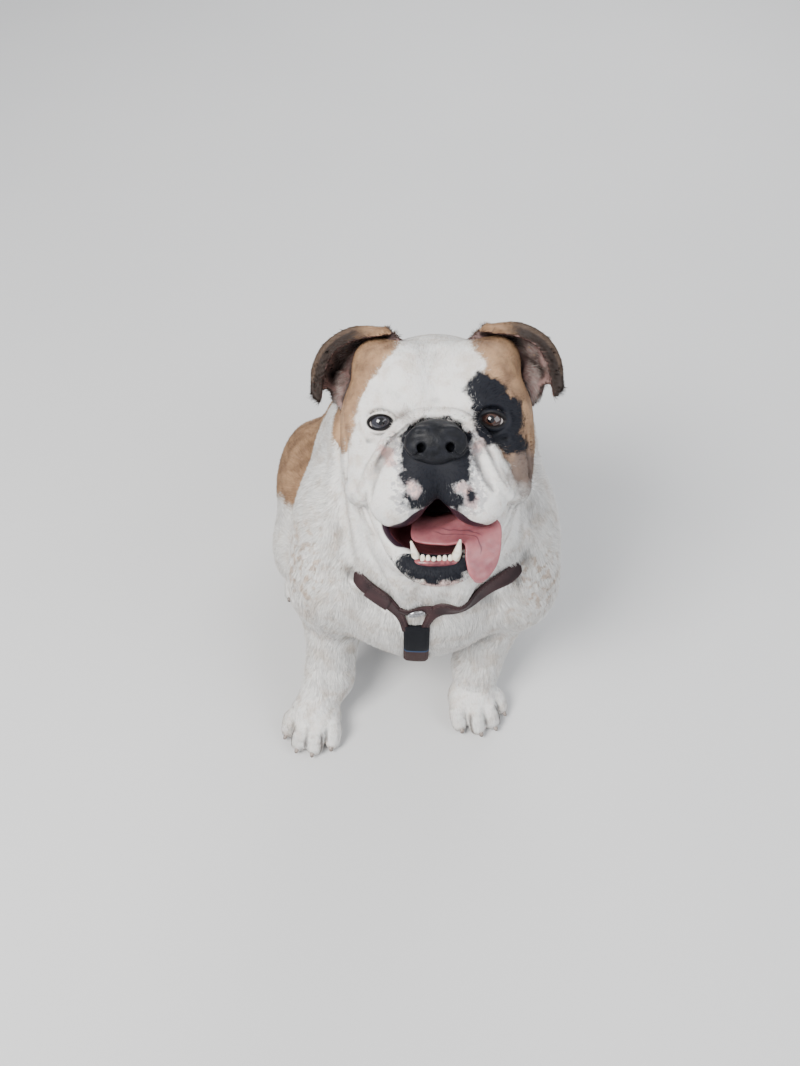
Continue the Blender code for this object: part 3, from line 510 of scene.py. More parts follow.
# %% Ears
EAR_HALF = 0.0032
EAR_CURVES = [
    [(0.036, 0.078, -0.050), (0.052, 0.066, -0.048), (0.068, 0.046, -0.050), (0.080, 0.026, -0.054),
     (0.088, 0.006, -0.060)],
    [(0.045, 0.088, -0.070), (0.066, 0.080, -0.086), (0.086, 0.058, -0.092), (0.096, 0.036, -0.088),
     (0.098, 0.014, -0.074)],
    [(0.052, 0.091, -0.062), (0.082, 0.087, -0.076), (0.104, 0.070, -0.078), (0.112, 0.052, -0.072),
     (0.108, 0.034, -0.060)],
    [(0.050, 0.092, -0.050), (0.084, 0.0935, -0.056), (0.110, 0.080, -0.056), (0.1235, 0.058, -0.052),
     (0.1255, 0.032, -0.048)],
    [(0.046, 0.088, -0.046), (0.080, 0.083, -0.042), (0.102, 0.071, -0.040), (0.113, 0.051, -0.040),
     (0.1185, 0.022, -0.043)],
]


def ear(side):
    along = np.array([spline(curve, 6) for curve in EAR_CURVES])
    grid = np.array([spline(row, 6) for row in along.transpose(1, 0, 2)]).transpose(1, 0, 2)
    places = EYE_LINE + (grid * (side, 1, 1)) @ HEAD
    return Leather(places if side > 0 else places[:, ::-1], EAR_HALF, 0.006)


EARS = {1: ear(1), -1: ear(-1)}


def ear_floor(side):
    """The flesh on the floor of an ear's cup, with the ridge that crosses it."""
    ridge = [(0.078, 0.074, -0.078), (0.090, 0.058, -0.076), (0.094, 0.040, -0.072), (0.092, 0.022, -0.066)]
    return [
        face_ball(side * 0.088, 0.054, -0.087, (0.017, 0.027, 0.014), 0.010),
        face_ball(side * 0.098, 0.034, -0.069, (0.012, 0.020, 0.010), 0.006),
        face_limb(mirrored(ridge, side), [0.003, 0.005, 0.005, 0.004], 0.006),
    ]

# %% The flesh, in two lists
WRISTS = {-1: (-0.124, -0.130, 0.062), 1: (0.062, -0.112, 0.062)}


def body_masses():
    masses = trunk() + neck()
    for side in (1, -1):
        word = "left" if side > 0 else "right"
        masses += shoulder(side) + haunch(side, FEET["hind_" + word])
    masses += tail()
    masses += foreleg(-1, (-0.116, -0.078, 0.180), (-0.118, -0.102, 0.120), WRISTS[-1], FEET["fore_right"])
    masses += foreleg(1, (0.098, -0.072, 0.180), (0.078, -0.092, 0.120), WRISTS[1], FEET["fore_left"])
    return masses


ROLLS = {
    -1: [(-0.0300, -0.0030, 0.0225), (-0.0380, -0.0092, 0.0225), (-0.0460, -0.0172, 0.0205),
         (-0.0525, -0.0263, 0.0190), (-0.0586, -0.0363, 0.0180), (-0.0640, -0.0480, 0.0165),
         (-0.0690, -0.0600, 0.0115), (-0.0740, -0.0700, 0.0020)],
    1: [(0.0270, -0.0070, 0.0215), (0.0340, -0.0140, 0.0220), (0.0406, -0.0220, 0.0215),
        (0.0461, -0.0325, 0.0210), (0.0510, -0.0434, 0.0225), (0.0556, -0.0528, 0.0240),
        (0.0610, -0.0620, 0.0200), (0.0680, -0.0710, 0.0090)],
}
VALLEYS = [
    [(-0.0347, -0.0021, 0.0255), (-0.0517, -0.0162, 0.0195), (-0.0632, -0.0346, 0.0128),
     (-0.0677, -0.0454, 0.0090), (-0.0726, -0.0567, 0.0010)],
    [(-0.0254, -0.0043, 0.0250), (-0.0400, -0.0181, 0.0240), (-0.0470, -0.0276, 0.0225),
     (-0.0539, -0.0380, 0.0225), (-0.0597, -0.0500, 0.0255), (-0.0640, -0.0624, 0.0245),
     (-0.0654, -0.0733, 0.0215)],
    [(0.0276, -0.0030, 0.0250), (0.0360, -0.0090, 0.0252), (0.0450, -0.0170, 0.0236),
     (0.0510, -0.0277, 0.0215), (0.0570, -0.0400, 0.0225), (0.0620, -0.0503, 0.0245), (0.0670, -0.0600, 0.0215)],
    [(0.0240, -0.0118, 0.0275), (0.0310, -0.0190, 0.0277), (0.0355, -0.0280, 0.0290),
     (0.0405, -0.0380, 0.0302), (0.0450, -0.0475, 0.0325), (0.0495, -0.0565, 0.0332), (0.0545, -0.0655, 0.0318)],
]
NECK_FOLDS = [
    [(-0.1004, -0.0392, 0.4124), (-0.1041, -0.0574, 0.3859), (-0.1036, -0.0762, 0.3592),
     (-0.1003, -0.1013, 0.3392), (-0.0951, -0.1237, 0.3159), (-0.0895, -0.1389, 0.2829)],
    [(0.1158, -0.0277, 0.3711), (0.1080, -0.0620, 0.3560), (0.1061, -0.0843, 0.3443),
     (0.1063, -0.1084, 0.3227), (0.1027, -0.1252, 0.3006), (0.0952, -0.1402, 0.2755)],
]


def tapered(radius, count):
    return [radius * 0.4] + [radius] * (count - 2) + [radius * 0.3]


def between_toes(foot):
    """Lines down between each toe and the next, where the coat is painted dark as shade in the grooves."""
    clefts = []
    for (x, reach, _), (next_x, next_reach, _) in zip(TOES, TOES[1:]):
        middle, end = (x + next_x) / 2, (reach + next_reach) / 2
        cleft = [(middle * 0.8, end - 0.020, 0.050), (middle, end - 0.002, 0.035), (middle * 1.05, end + 0.010, 0.012)]
        clefts.append(Limb([paw_spot(*foot, *place) for place in cleft], [0.0008, 0.0022, 0.0026], 0, 1, 3))
    return clefts


VALLEY_CUTS = [face_limb(valley, tapered(0.0034, len(valley)), 0.0030, -1, 3) for valley in VALLEYS]
NECK_CUTS = [Limb(fold, tapered(0.0055, len(fold)), 0.012, -1, 4) for fold in NECK_FOLDS]
# Lines between the toes, used only to paint shade on the coat.
CLEFT_SHADE_LINES = [cleft for foot in FEET.values() for cleft in between_toes(foot)]


def loose_skin():
    """The rolls beside the nose, and cuts: the valleys beside them and the folds of the neck."""
    made = []
    for roll in ROLLS.values():
        radii = [0.0032, 0.0050, 0.0062, 0.0068, 0.0070, 0.0074, 0.0078, 0.0080]
        made.append(face_limb(roll, radii, 0.0030, per_span=3))
    for side in (1, -1):
        made.append(face_ball(side * 0.0835, -0.0675, -0.026, (0.0105, 0.0105, 0.0130), 0.004))
    return made + VALLEY_CUTS + NECK_CUTS


def creases():
    """Thin furrows of the face: under the eyes, down the cheeks, over the brows."""
    cheek = [(0.088, -0.018, -0.022), (0.091, -0.044, -0.028), (0.087, -0.068, -0.040), (0.078, -0.092, -0.050)]
    under = [(0.040, -0.020, 0.010), (0.056, -0.0185, 0.004), (0.068, -0.0185, -0.004)]
    frown = [(0.009, 0.022, 0.011), (0.012, 0.032, 0.009), (0.010, 0.046, 0.004)]
    jowl = [(0.066, -0.112, -0.028), (0.072, -0.094, -0.034), (0.076, -0.084, -0.030)]
    made = []
    for side in (1, -1):
        for line, radius in ((cheek, 0.0030), (under, 0.0013), (frown, 0.0026), (jowl, 0.0030)):
            made.append(face_limb(mirrored(line, side), tapered(radius, len(line)), 0.0042, -1))
    return made


FLESH = body_masses() + skull() + muzzle() + folds() + loose_skin() + lids(1) + lids(-1)
EAR_FLOORS = ear_floor(1) + ear_floor(-1)
HEAD_FLESH = FLESH + creases() + list(EARS.values()) + EAR_FLOORS
print(len(HEAD_FLESH), "masses")

# %% [markdown]
# The surface of such a sum is found on a grid of cells. A cell that the surface passes
# through gets one point, and four of them that share an edge of the grid make a face. Newton's
# rule then draws each point onto the true surface. The head wants small cells, because its
# folds are thin, and the body can do with larger ones. The two shells are cut in one plane
# and joined there, under the collar, so that no seam shows.

# %% From masses to a mesh
BLOCK = 5


def sampled(field, low, cell, counts):
    """The field on a grid of places: far from the surface, only its sign is worked out."""
    blocks = -(-counts // BLOCK)
    middles = np.stack(np.meshgrid(*[np.arange(n) for n in blocks], indexing="ij"), -1).reshape(-1, 3)
    rough = field(low + cell * (middles * BLOCK + (BLOCK - 1) / 2)).reshape(blocks)
    spread = rough
    for axis in range(3):
        spread = np.repeat(spread, BLOCK, axis)
    spread = spread[:counts[0], :counts[1], :counts[2]].copy()
    close = np.argwhere(np.abs(spread) < cell * BLOCK * 1.3 + 0.002)
    spread[tuple(close.T)] = field(low + cell * close)
    return spread


def net(field, low, high, cell):
    """Points and four-sided faces of the surface in a box: one point in each cell that it
    passes through, at the mean of the places where it crosses the cell's edges."""
    low, high = np.array(low, float), np.array(high, float)
    counts = np.ceil((high - low) / cell).astype(int) + 1
    value = sampled(field, low, cell, counts)
    inside = value < 0
    corners = [(x, y, z) for x in (0, 1) for y in (0, 1) for z in (0, 1)]
    parts = [inside[tuple(slice(c, counts[i] - 1 + c) for i, c in enumerate(corner))] for corner in corners]
    mixed = np.logical_or.reduce(parts) & ~np.logical_and.reduce(parts)
    cells = np.argwhere(mixed)
    number = np.full(counts - 1, -1)
    number[tuple(cells.T)] = np.arange(len(cells))
    total, count = np.zeros((len(cells), 3)), np.zeros(len(cells))
    for a in corners:
        for b in corners:
            if sum(b) - sum(a) != 1 or sum(abs(p - q) for p, q in zip(a, b)) != 1:
                continue
            start, end = value[tuple((cells + a).T)], value[tuple((cells + b).T)]
            crosses = (start < 0) != (end < 0)
            share = np.where(crosses, start / np.where(crosses, start - end, 1), 0)
            place = np.array(a) + share[:, None] * (np.array(b) - np.array(a))
            total += np.where(crosses[:, None], place, 0)
            count += crosses
    points = low + cell * (cells + total / count[:, None])
    faces = []
    for axis in range(3):
        u, v = (axis + 1) % 3, (axis + 2) % 3
        first = [slice(1, n - 1) for n in counts]
        first[axis] = slice(0, counts[axis] - 1)
        second = list(first)
        second[axis] = slice(1, counts[axis])
        starts, ends = inside[tuple(first)], inside[tuple(second)]
        edges = np.argwhere(starts != ends)
        outward = starts[tuple(edges.T)]
        edges[:, [u, v]] += 1
        quads = []
        for back_u, back_v in ((1, 1), (0, 1), (0, 0), (1, 0)):
            at = edges.copy()
            at[:, u] -= back_u
            at[:, v] -= back_v
            quads.append(number[tuple(at.T)])
        quads = np.stack(quads, 1)
        quads[~outward] = quads[~outward][:, ::-1]
        faces.append(quads)
    return points, np.vstack(faces)


def lowered(masses, depth, floor=True):
    """The distance to a surface that lies a depth under the masses, and above the floor."""
    def field(points):
        inner = distance_to(masses, points) + (depth(points) if callable(depth) else depth)
        return np.maximum(inner, 0.0004 - points[:, 2]) if floor else inner
    return field


def mesh_from(name, points, faces):
    mesh = bpy.data.meshes.new(name)
    mesh.from_pydata((points + SHIFT).tolist(), [], [list(face) for face in faces])
    mesh.update()
    mesh.shade_smooth()
    return mesh


def place_piece(name, mesh, slot, *replaced):
    """Puts a mesh in the scene as a piece, and hides the nodes that it stands for. Its slot is not used."""
    made = bpy.data.objects.new(name, mesh)
    bpy.context.scene.collection.objects.link(made)
    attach(made, "root")
    if replaced:
        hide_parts(*replaced)
    return made


def points_of(mesh):
    points = np.empty(len(mesh.vertices) * 3)
    mesh.vertices.foreach_get("co", points)
    return points.reshape(-1, 3) - SHIFT


def normals_of(mesh):
    normals = np.empty(len(mesh.vertices) * 3)
    mesh.vertices.foreach_get("normal", normals)
    return normals.reshape(-1, 3)


def set_points(mesh, points):
    mesh.vertices.foreach_set("co", (points + SHIFT).ravel())
    mesh.update()


# %% One skin
HEAD_CELL = 0.0027
BODY_CELL = 0.0060
NECK_CENTRE = np.array([-0.008, -0.06, 0.346])
NECK_NORMAL = unit([0.0, -0.80, 1.0])
BODY_DEPTH, FACE_DEPTH, LID_DEPTH = 0.0020, 0.0011, 0.0001


def step_up(value, low, high):
    """Nought below low, one above high, and a smooth rise between them."""
    share = np.clip((value - low) / (high - low), 0, 1)
    return share * share * (3 - 2 * share)


def coat_depth(points):
    """How deep the skin lies under the solids: less on the face, and hardly at the lids."""
    above = step_up((points - NECK_CENTRE) @ NECK_NORMAL, 0, 0.03)
    left, crown, ahead = in_face(points).T
    off_eye = np.hypot(np.abs(left) - EYE_SPACING / 2, crown)
    depth = BODY_DEPTH + (FACE_DEPTH - BODY_DEPTH) * above
    return depth + (LID_DEPTH - depth) * (1 - step_up(off_eye, 0.014, 0.022)) * (ahead > -0.03)


head_field = lowered(HEAD_FLESH, coat_depth)
body_field = lowered(FLESH, coat_depth)


def half(field, low, high, cell, keep, offset):
    """The net of a box, settled, cut in the plane of the collar and open there."""
    points, faces = net(field, low, high, cell)
    points = settle(field, points)
    work = bmesh.new()
    verts = [work.verts.new(point) for point in points.tolist()]
    for face_numbers in faces.tolist():
        work.faces.new([verts[i] for i in face_numbers])
    plane = NECK_CENTRE - NECK_NORMAL * offset
    bmesh.ops.bisect_plane(
        work, geom=work.verts[:] + work.edges[:] + work.faces[:], plane_co=plane, plane_no=NECK_NORMAL * keep,
        clear_outer=False, clear_inner=True,
    )
    mesh = bpy.data.meshes.new("half")
    work.to_mesh(mesh)
    work.free()
    return mesh


def refine(work, chosen):
    """Splits the chosen faces into four, and the ones next to them so that no gap opens."""
    edges = list({edge for f in work.faces if chosen(f.calc_center_median()) for edge in f.edges})
    bmesh.ops.subdivide_edges(work, edges=edges, cuts=1, use_grid_fill=True)


def toes_near(place):
    return any(
        (place - Vector(foot[0])).length < 0.060 and place.z < 0.044 for foot in FEET.values()
    )


def features_near(place):
    left, crown, ahead = HEAD @ (np.array(place) - EYE_LINE)
    at_eye = abs(abs(left) - EYE_SPACING / 2) < 0.020 and abs(crown) < 0.016 and ahead > -0.02
    at_nose = abs(left) < 0.034 and -0.05 < crown < 0.006 and ahead > 0.012
    at_lips = abs(left) < 0.066 and -0.165 < crown < -0.070 and ahead > -0.035
    return at_eye or at_nose or at_lips


skin_work = bmesh.new()
for mesh in (
    half(head_field, (-0.16, -0.27, 0.25), (0.16, 0.12, 0.56), HEAD_CELL, 1, 0.0),
    half(body_field, (-0.22, -0.26, -0.01), (0.18, 0.41, 0.46), BODY_CELL, -1, 0.0030),
):
    skin_work.from_mesh(mesh)
    print("a half has", len(mesh.polygons), "faces")
    bpy.data.meshes.remove(mesh)
rims = [edge for edge in skin_work.edges if edge.is_boundary]
print("open edges at the collar:", len(rims))
bmesh.ops.bridge_loops(skin_work, edges=rims)
refine(skin_work, toes_near)
refine(skin_work, features_near)
bmesh.ops.triangulate(skin_work, faces=skin_work.faces[:])
skin_mesh = bpy.data.meshes.new("skin")
skin_work.to_mesh(skin_mesh)
skin_work.free()
skin_points = points_of(skin_mesh) + SHIFT
skin_points = settle(head_field, skin_points, rounds=2, longest=0.002)
set_points(skin_mesh, skin_points)
skin_mesh.shade_smooth()
print("skin:", len(skin_mesh.polygons), "triangles")

# %% [markdown]
# The photograph looks down on the dog from in front. The camera stands where the places of
# the eyes, paws and ears in the picture meet, and a wide soft lamp from the left, a weaker
# one from the right and a pale world make the light of a studio.

# %% Camera, floor and lamps
CAMERA_PLACE = (-0.035, -0.811, 1.155)
FOCAL_PIXELS, PICTURE_WIDTH, SENSOR = 1010, 800, 36.0

camera_data = bpy.data.cameras.new("camera")
camera_data.sensor_fit = "HORIZONTAL"
camera_data.sensor_width = SENSOR
camera_data.lens = FOCAL_PIXELS / PICTURE_WIDTH * SENSOR
camera = bpy.data.objects.new("camera", camera_data)
camera.location = (np.array(CAMERA_PLACE) + SHIFT).tolist()
camera.rotation_euler = (radians(40), 0, 0)
bpy.context.scene.collection.objects.link(camera)
bpy.context.scene.camera = camera


def lamp(name, place, target, size, watts, colour):
    """A square area lamp that looks from its place at its target."""
    data = bpy.data.lights.new(name, "AREA")
    data.size, data.energy, data.color = size, watts, colour
    made = bpy.data.objects.new(name, data)
    made.location = place
    made.rotation_euler = (Vector(target) - Vector(place)).to_track_quat("-Z", "Y").to_euler()
    bpy.context.scene.collection.objects.link(made)


lamp("key_lamp", (-1.3, -1.5, 2.4), (0, -0.05, 0.3), 1.2, 124, (1.0, 0.98, 0.95))
lamp("fill_lamp", (1.7, -1.2, 1.6), (0, 0, 0.25), 1.8, 30, (0.95, 0.97, 1.0))
lamp("back_lamp", (0.6, 2.0, 1.8), (0, 0.1, 0.3), 1.6, 34, (1.0, 1.0, 1.0))

world = bpy.data.worlds.new("studio")
world.use_nodes = True
world.node_tree.nodes["Background"].inputs["Color"].default_value = (0.86, 0.88, 0.92, 1)
world.node_tree.nodes["Background"].inputs["Strength"].default_value = 0.60
bpy.context.scene.world = world

# %% [markdown]
# Materials are written as sums. One small class wraps a socket of the node tree, so that
# an expression on values adds its Math nodes, and one method makes every other node. What
# never changes is set on the shader itself.

# %% Sockets that can be added up
class Value:
    """A socket of a material's nodes; arithmetic on it adds Math nodes."""

    def __init__(self, finish, socket):
        self.finish, self.socket = finish, socket

    def math(self, operation, *terms):
        return self.finish.node("ShaderNodeMath", {"operation": operation}, dict(enumerate(terms)))

    def __add__(self, other):
        return self.math("ADD", self, other)

    def __sub__(self, other):
        return self.math("SUBTRACT", self, other)

    def __rsub__(self, other):
        return self.math("SUBTRACT", other, self)

    def __mul__(self, other):
        return self.math("MULTIPLY", self, other)

    __radd__, __rmul__ = __add__, __mul__

    def over(self, low, high):
        """Nought below low, one above high, and a smooth rise between them."""
        ranges = {0: self, 1: low, 2: high}
        return self.finish.node("ShaderNodeMapRange", {"interpolation_type": "SMOOTHSTEP"}, ranges)


class Finish:
    """A material. Its constants are set on the shader's own sockets."""

    def __init__(self, name, **constants):
        self.material = bpy.data.materials.new(name)
        self.material.use_nodes = True
        self.nodes = self.material.node_tree.nodes
        self.links = self.material.node_tree.links
        self.shader = self.nodes["Principled BSDF"]
        self.place = self.node("ShaderNodeTexCoord", output="Object")
        for socket, value in constants.items():
            self.shader.inputs[socket.replace("_", " ")].default_value = value

    def node(self, kind, settings=None, inputs=None, output=0):
        made = self.nodes.new(kind)
        for key, value in (settings or {}).items():
            setattr(made, key, value)
        for key, value in (inputs or {}).items():
            self.feed(made.inputs[key], value)
        return Value(self, made.outputs[output])

    def feed(self, socket, value):
        if isinstance(value, Value):
            self.links.new(value.socket, socket)
        else:
            socket.default_value = (*value, 1.0) if isinstance(value, tuple) and len(value) == 3 else value

    def use(self, **sockets):
        for socket, value in sockets.items():
            self.feed(self.shader.inputs[socket.replace("_", " ")], value)
        return self.material

    def noise(self, size, detail=2.0, rough=0.5, place=None):
        inputs = {"Vector": place or self.place, "Scale": 1 / size, "Detail": detail, "Roughness": rough}
        return self.node("ShaderNodeTexNoise", None, inputs)

    def cells(self, size, kind="F1", place=None, spread=1.0):
        inputs = {"Vector": place or self.place, "Scale": 1 / size, "Randomness": spread}
        return self.node("ShaderNodeTexVoronoi", {"feature": kind}, inputs)

    def mark(self, name):
        return self.node("ShaderNodeAttribute", {"attribute_name": name}, output="Fac")

    def mix(self, factor, first, second):
        return self.node("ShaderNodeMix", {"data_type": "RGBA"}, {0: factor, 6: first, 7: second}, output=2)

    def scaled(self, colour, share):
        return self.node("ShaderNodeVectorMath", {"operation": "SCALE"}, {0: colour, "Scale": share})

    def bump(self, height, distance, strength=1.0, under=None):
        inputs = {"Height": height, "Distance": distance, "Strength": strength}
        if under:
            inputs["Normal"] = under
        return self.node("ShaderNodeBump", None, inputs)


def mark_points(mesh, **values):
    """Stores a value for each point of a mesh, for its material to read."""
    for name, numbers in values.items():
        layer = mesh.attributes.new(name, "FLOAT", "POINT")
        layer.data.foreach_set("value", np.ascontiguousarray(numbers, np.float32))


# %% [markdown]
# The dog is white, with tan on the sides of its head, its ears and its flank, a black patch
# round its left eye and a black muzzle with pink blots. Each mark is worked out for a place
# as a distance to the mark's edge, a half at the edge itself, and the same numbers go to the
# skin and to each tuft of the coat. The material then frays the edge with noise.

# %% Where the marks lie
EDGE_WIDTH = 0.016
BLAZE = {
    -1: ([-0.045, -0.027, -0.007, 0.012, 0.032, 0.049, 0.070, 0.095],
         [0.094, 0.089, 0.082, 0.077, 0.068, 0.056, 0.039, 0.029]),
    1: ([-0.080, -0.050, -0.026, 0.030, 0.043, 0.056, 0.068, 0.095],
        [0.084, 0.074, 0.060, 0.046, 0.046, 0.048, 0.038, 0.030]),
}


def waves(points, size, seed, count=10):
    """A smooth random value for each place, about -1 to 1: sine waves of one size that run
    in random directions, added up."""
    draw = np.random.default_rng(seed)
    ways = unit(draw.normal(size=(count, 3))) * 2 * pi / (size * draw.uniform(0.7, 1.5, (count, 1)))
    return np.sin(points @ ways.T + draw.uniform(0, 2 * pi, count)).sum(1) / np.sqrt(count)


def oval(x, y, middle, radii, turn=0.0):
    """The distance to the edge of an ellipse, about, and below nought inside it."""
    u, v = x - middle[0], y - middle[1]
    c, s = cos(radians(turn)), sin(radians(turn))
    return (np.hypot((c * u + s * v) / radii[0], (c * v - s * u) / radii[1]) - 1) * min(radii)


def edge_value(distance, width=EDGE_WIDTH):
    return np.clip(0.5 - distance / width, 0, 1)


def markings(points):
    """Each mark's value at places, a half at its edge: see the words above."""
    left, crown, ahead = in_face(points).T
    fray = 0.0016 * waves(points, 0.014, 1) + 0.0009 * waves(points, 0.006, 2)
    on_head = step_up((points - NECK_CENTRE) @ NECK_NORMAL, 0.004, 0.03)
    tan = np.full(len(points), 0.05)
    for side, (heights, widths) in BLAZE.items():
        lowest = -0.030 if side < 0 else -0.062
        beyond = np.interp(crown, heights, widths) - side * left
        tan = np.minimum(tan, np.maximum(beyond, lowest - crown) + fray)
    tan = tan + 0.05 * (1 - on_head)
    x, y, z = points.T
    saddle = (np.linalg.norm((points - (-0.150, 0.165, 0.200)) / (0.085, 0.105, 0.105), axis=1) - 1) * 0.085
    rump = (np.linalg.norm((points - (0.040, 0.285, 0.130)) / (0.060, 0.060, 0.070), axis=1) - 1) * 0.060
    body = np.minimum(saddle, rump) + 0.006 * waves(points, 0.06, 3) + fray
    tan = np.minimum(tan, np.where(on_head > 0.5, 0.05, body))

    patch = np.minimum(
        oval(left, crown, (0.060, 0.002), (0.026, 0.026)), oval(left, crown, (0.050, 0.027), (0.021, 0.016), -30)
    )
    patch = np.minimum(patch, oval(left, crown, (0.071, -0.020), (0.020, 0.012), -35))
    patch = np.where((ahead > -0.075) & (left > 0), patch + fray, 0.05)
    box = np.maximum(np.abs(left) - 0.033, np.maximum(-0.081 - crown, crown - 0.004))
    corner = oval(left, crown, (0.0, -0.042), (0.042, 0.048))
    muzzle_mark = np.maximum(box, corner) + 1.4 * fray
    pinks = np.minimum(
        oval(left, crown, (-0.0215, -0.0620), (0.0070, 0.0078)),
        np.minimum(oval(left, crown, (0.0270, -0.0640), (0.0105, 0.0065), -25),
                   oval(left, crown, (0.0330, -0.0745), (0.0065, 0.0095), 20)),
    ) + 0.6 * fray
    spots = np.minimum(
        oval(left, crown, (-0.0235, -0.0760), (0.0055, 0.0042)),
        np.minimum(oval(left, crown, (0.0330, -0.0690), (0.0045, 0.0065)), oval(left, crown, (0.0180, -0.079), (0.004, 0.006))),
    )
    muzzle_mark = np.minimum(np.maximum(muzzle_mark, -pinks), spots + 0.5 * fray)
    on_muzzle = (ahead > -0.004) & (crown > -0.095)
    muzzle_mark = np.where(on_muzzle, muzzle_mark, 0.05)
    chin = oval(left, crown, (-0.004, -0.138), (0.041, 0.0185)) + 1.2 * fray
    chin = np.where((ahead > -0.016) & (crown < -0.128), chin, 0.05)
    black = np.minimum(np.minimum(patch, muzzle_mark), chin)

    grey = oval(left, crown, (0.086, -0.050), (0.016, 0.028), 15)
    grey = np.minimum(grey, oval(left, crown, (-0.031, 0.006), (0.012, 0.008)) + 0.003)
    grey = np.where(ahead > -0.09, grey + fray, 0.05)
    mottle = np.where(on_muzzle & (crown < -0.012), np.abs(muzzle_mark) - 0.010, 0.05)
    pink = np.minimum(pinks, oval(left, crown, (-0.046, -0.030), (0.008, 0.016), 30) + 0.002)
    pink = np.minimum(pink, oval(left, crown, (0.040, -0.022), (0.006, 0.014), -40) + 0.002)
    pink = np.minimum(pink, oval(left, crown, (-0.002, -0.158), (0.030, 0.008)) + 0.001)
    pink = np.where(ahead > -0.03, pink + fray, 0.05)
    inside = MOUTH.distance(points)
    lip = 0.0022 + 0.0055 * step_up(np.abs(left), 0.028, 0.044) * step_up(-crown, 0.088, 0.100)
    mouth = np.maximum(inside - lip, -1)
    deep = (1 - step_up(inside, 0.0014, 0.0036)) * step_up(-crown, 0.098, 0.112)
    shadow = 1 - step_up(np.min([cut.distance(points) for cut in VALLEY_CUTS], axis=0), -0.0026, 0.0032)
    # Painted shade in the grooves between the toes.
    cleft = 1 - step_up(np.min([line.distance(points) for line in CLEFT_SHADE_LINES], axis=0), -0.0016, 0.0016)
    off_eye = np.hypot((np.abs(left) - EYE_SPACING / 2) / 0.0135, crown / 0.0086) - 1
    rim = np.where(ahead > -0.03, off_eye * 0.011, 0.05)
    ticks = np.linalg.norm((points - (-0.140, -0.110, 0.270)) / (0.05, 0.06, 0.07), axis=1)
    ticks = np.minimum(ticks, np.linalg.norm((points - (0.115, -0.120, 0.255)) / (0.04, 0.06, 0.07), axis=1))
    return {
        "tan": edge_value(tan), "black": edge_value(black), "grey": edge_value(grey, 0.024),
        "mottle": edge_value(mottle, 0.010), "pink": edge_value(pink, 0.008), "mouth": edge_value(mouth, 0.006),
        "rim": edge_value(rim, 0.006), "ticks": np.clip(1.3 - ticks, 0, 1), "deep": deep, "shadow": shadow,
        "cleft": cleft,
    }


def ear_marks(points):
    """Which places are ear, which of them lie in the cup, and how near its rim they are."""
    ear, cup, rim = np.zeros((3, len(points)))
    for leather in EARS.values():
        close = np.flatnonzero(leather.near(points, 0.01))
        close = close[leather.distance(points[close]) < 0.0016]
        here = points[close]
        ear[close] = 1
        cup[close] = leather.side_of(here) > 0
        away = np.sqrt(((here[:, None] - leather.rim[None, ::2]) ** 2).sum(2).min(1))
        rim[close] = 1 - step_up(away, 0.004, 0.013)
    on_floor = distance_to(EAR_FLOORS, points) < 0.001
    ear[on_floor] = cup[on_floor] = 1
    outer = ear * step_up(np.abs(in_face(points)[:, 0]), 0.050, 0.095)
    return {"ear": ear, "cup": cup, "ear_rim": rim, "ear_out": outer}


# %% The skin's furrows and its piece
FLESH_NODES = ["head", "neck", "lower_jaw", "trunk", "tail", "ear_left", "ear_right"]
FLESH_NODES += [
    part + side for part in ("foreleg_", "forepaw_", "thigh_", "hind_foot_") for side in ("left", "right")
]


def triangles_of(mesh):
    corners = np.empty(len(mesh.loops), np.int64)
    mesh.loops.foreach_get("vertex_index", corners)
    return corners.reshape(-1, 3)


def furrows(points, normals, triangles, rounds=3):
    """How deep each point lies in a furrow: the height of its neighbours' mean above it,
    along its normal, over a few rounds of averaging."""
    starts, ends = triangles.ravel(), np.roll(triangles, 1, 1).ravel()
    count = np.maximum(np.bincount(starts, minlength=len(points)), 1)[:, None]
    mean = points
    for _ in range(rounds):
        mean = np.stack([np.bincount(starts, mean[ends, i], len(points)) for i in range(3)], 1) / count
    return ((mean - points) * normals).sum(1)


skin_triangles = triangles_of(skin_mesh)
skin_normals = normals_of(skin_mesh)
skin_marks = {**markings(skin_points), **ear_marks(skin_points)}
# How deep the skin lies in a furrow, from nought to one: the materials darken with it as painted shade in the creases,
# and the tufts stand up a little where it is high.
skin_marks["furrow"] = step_up(furrows(skin_points, skin_normals, skin_triangles), 0.00015, 0.0011)
mark_points(skin_mesh, **skin_marks)
skin = place_piece("skin", skin_mesh, "coat", *FLESH_NODES)
print("marks on the skin:", ", ".join(skin_marks))

# %% [markdown]
# One colour serves the skin and the coat. Short hair shows the skin between it, so pink
# comes through where the hair is thin. On the skin itself, fine bump stands for the hairs
# that are too small to build.

# %% The coat's colour
WHITE, CREAM = (0.84, 0.825, 0.80), (0.70, 0.64, 0.58)
TAN, DEEP_TAN = (0.46, 0.285, 0.165), (0.24, 0.145, 0.090)
BLACK, BLUE_GREY = (0.0085, 0.0095, 0.0145), (0.22, 0.23, 0.27)
GREY_BROWN, PINK = (0.17, 0.130, 0.115), (0.72, 0.47, 0.43)
CUP_PINK, CUP_DARK = (0.30, 0.185, 0.170), (0.090, 0.058, 0.052)
EAR_BROWN, EAR_RIM, CUP_FUR = (0.115, 0.080, 0.060), (0.038, 0.028, 0.024), (0.42, 0.36, 0.33)


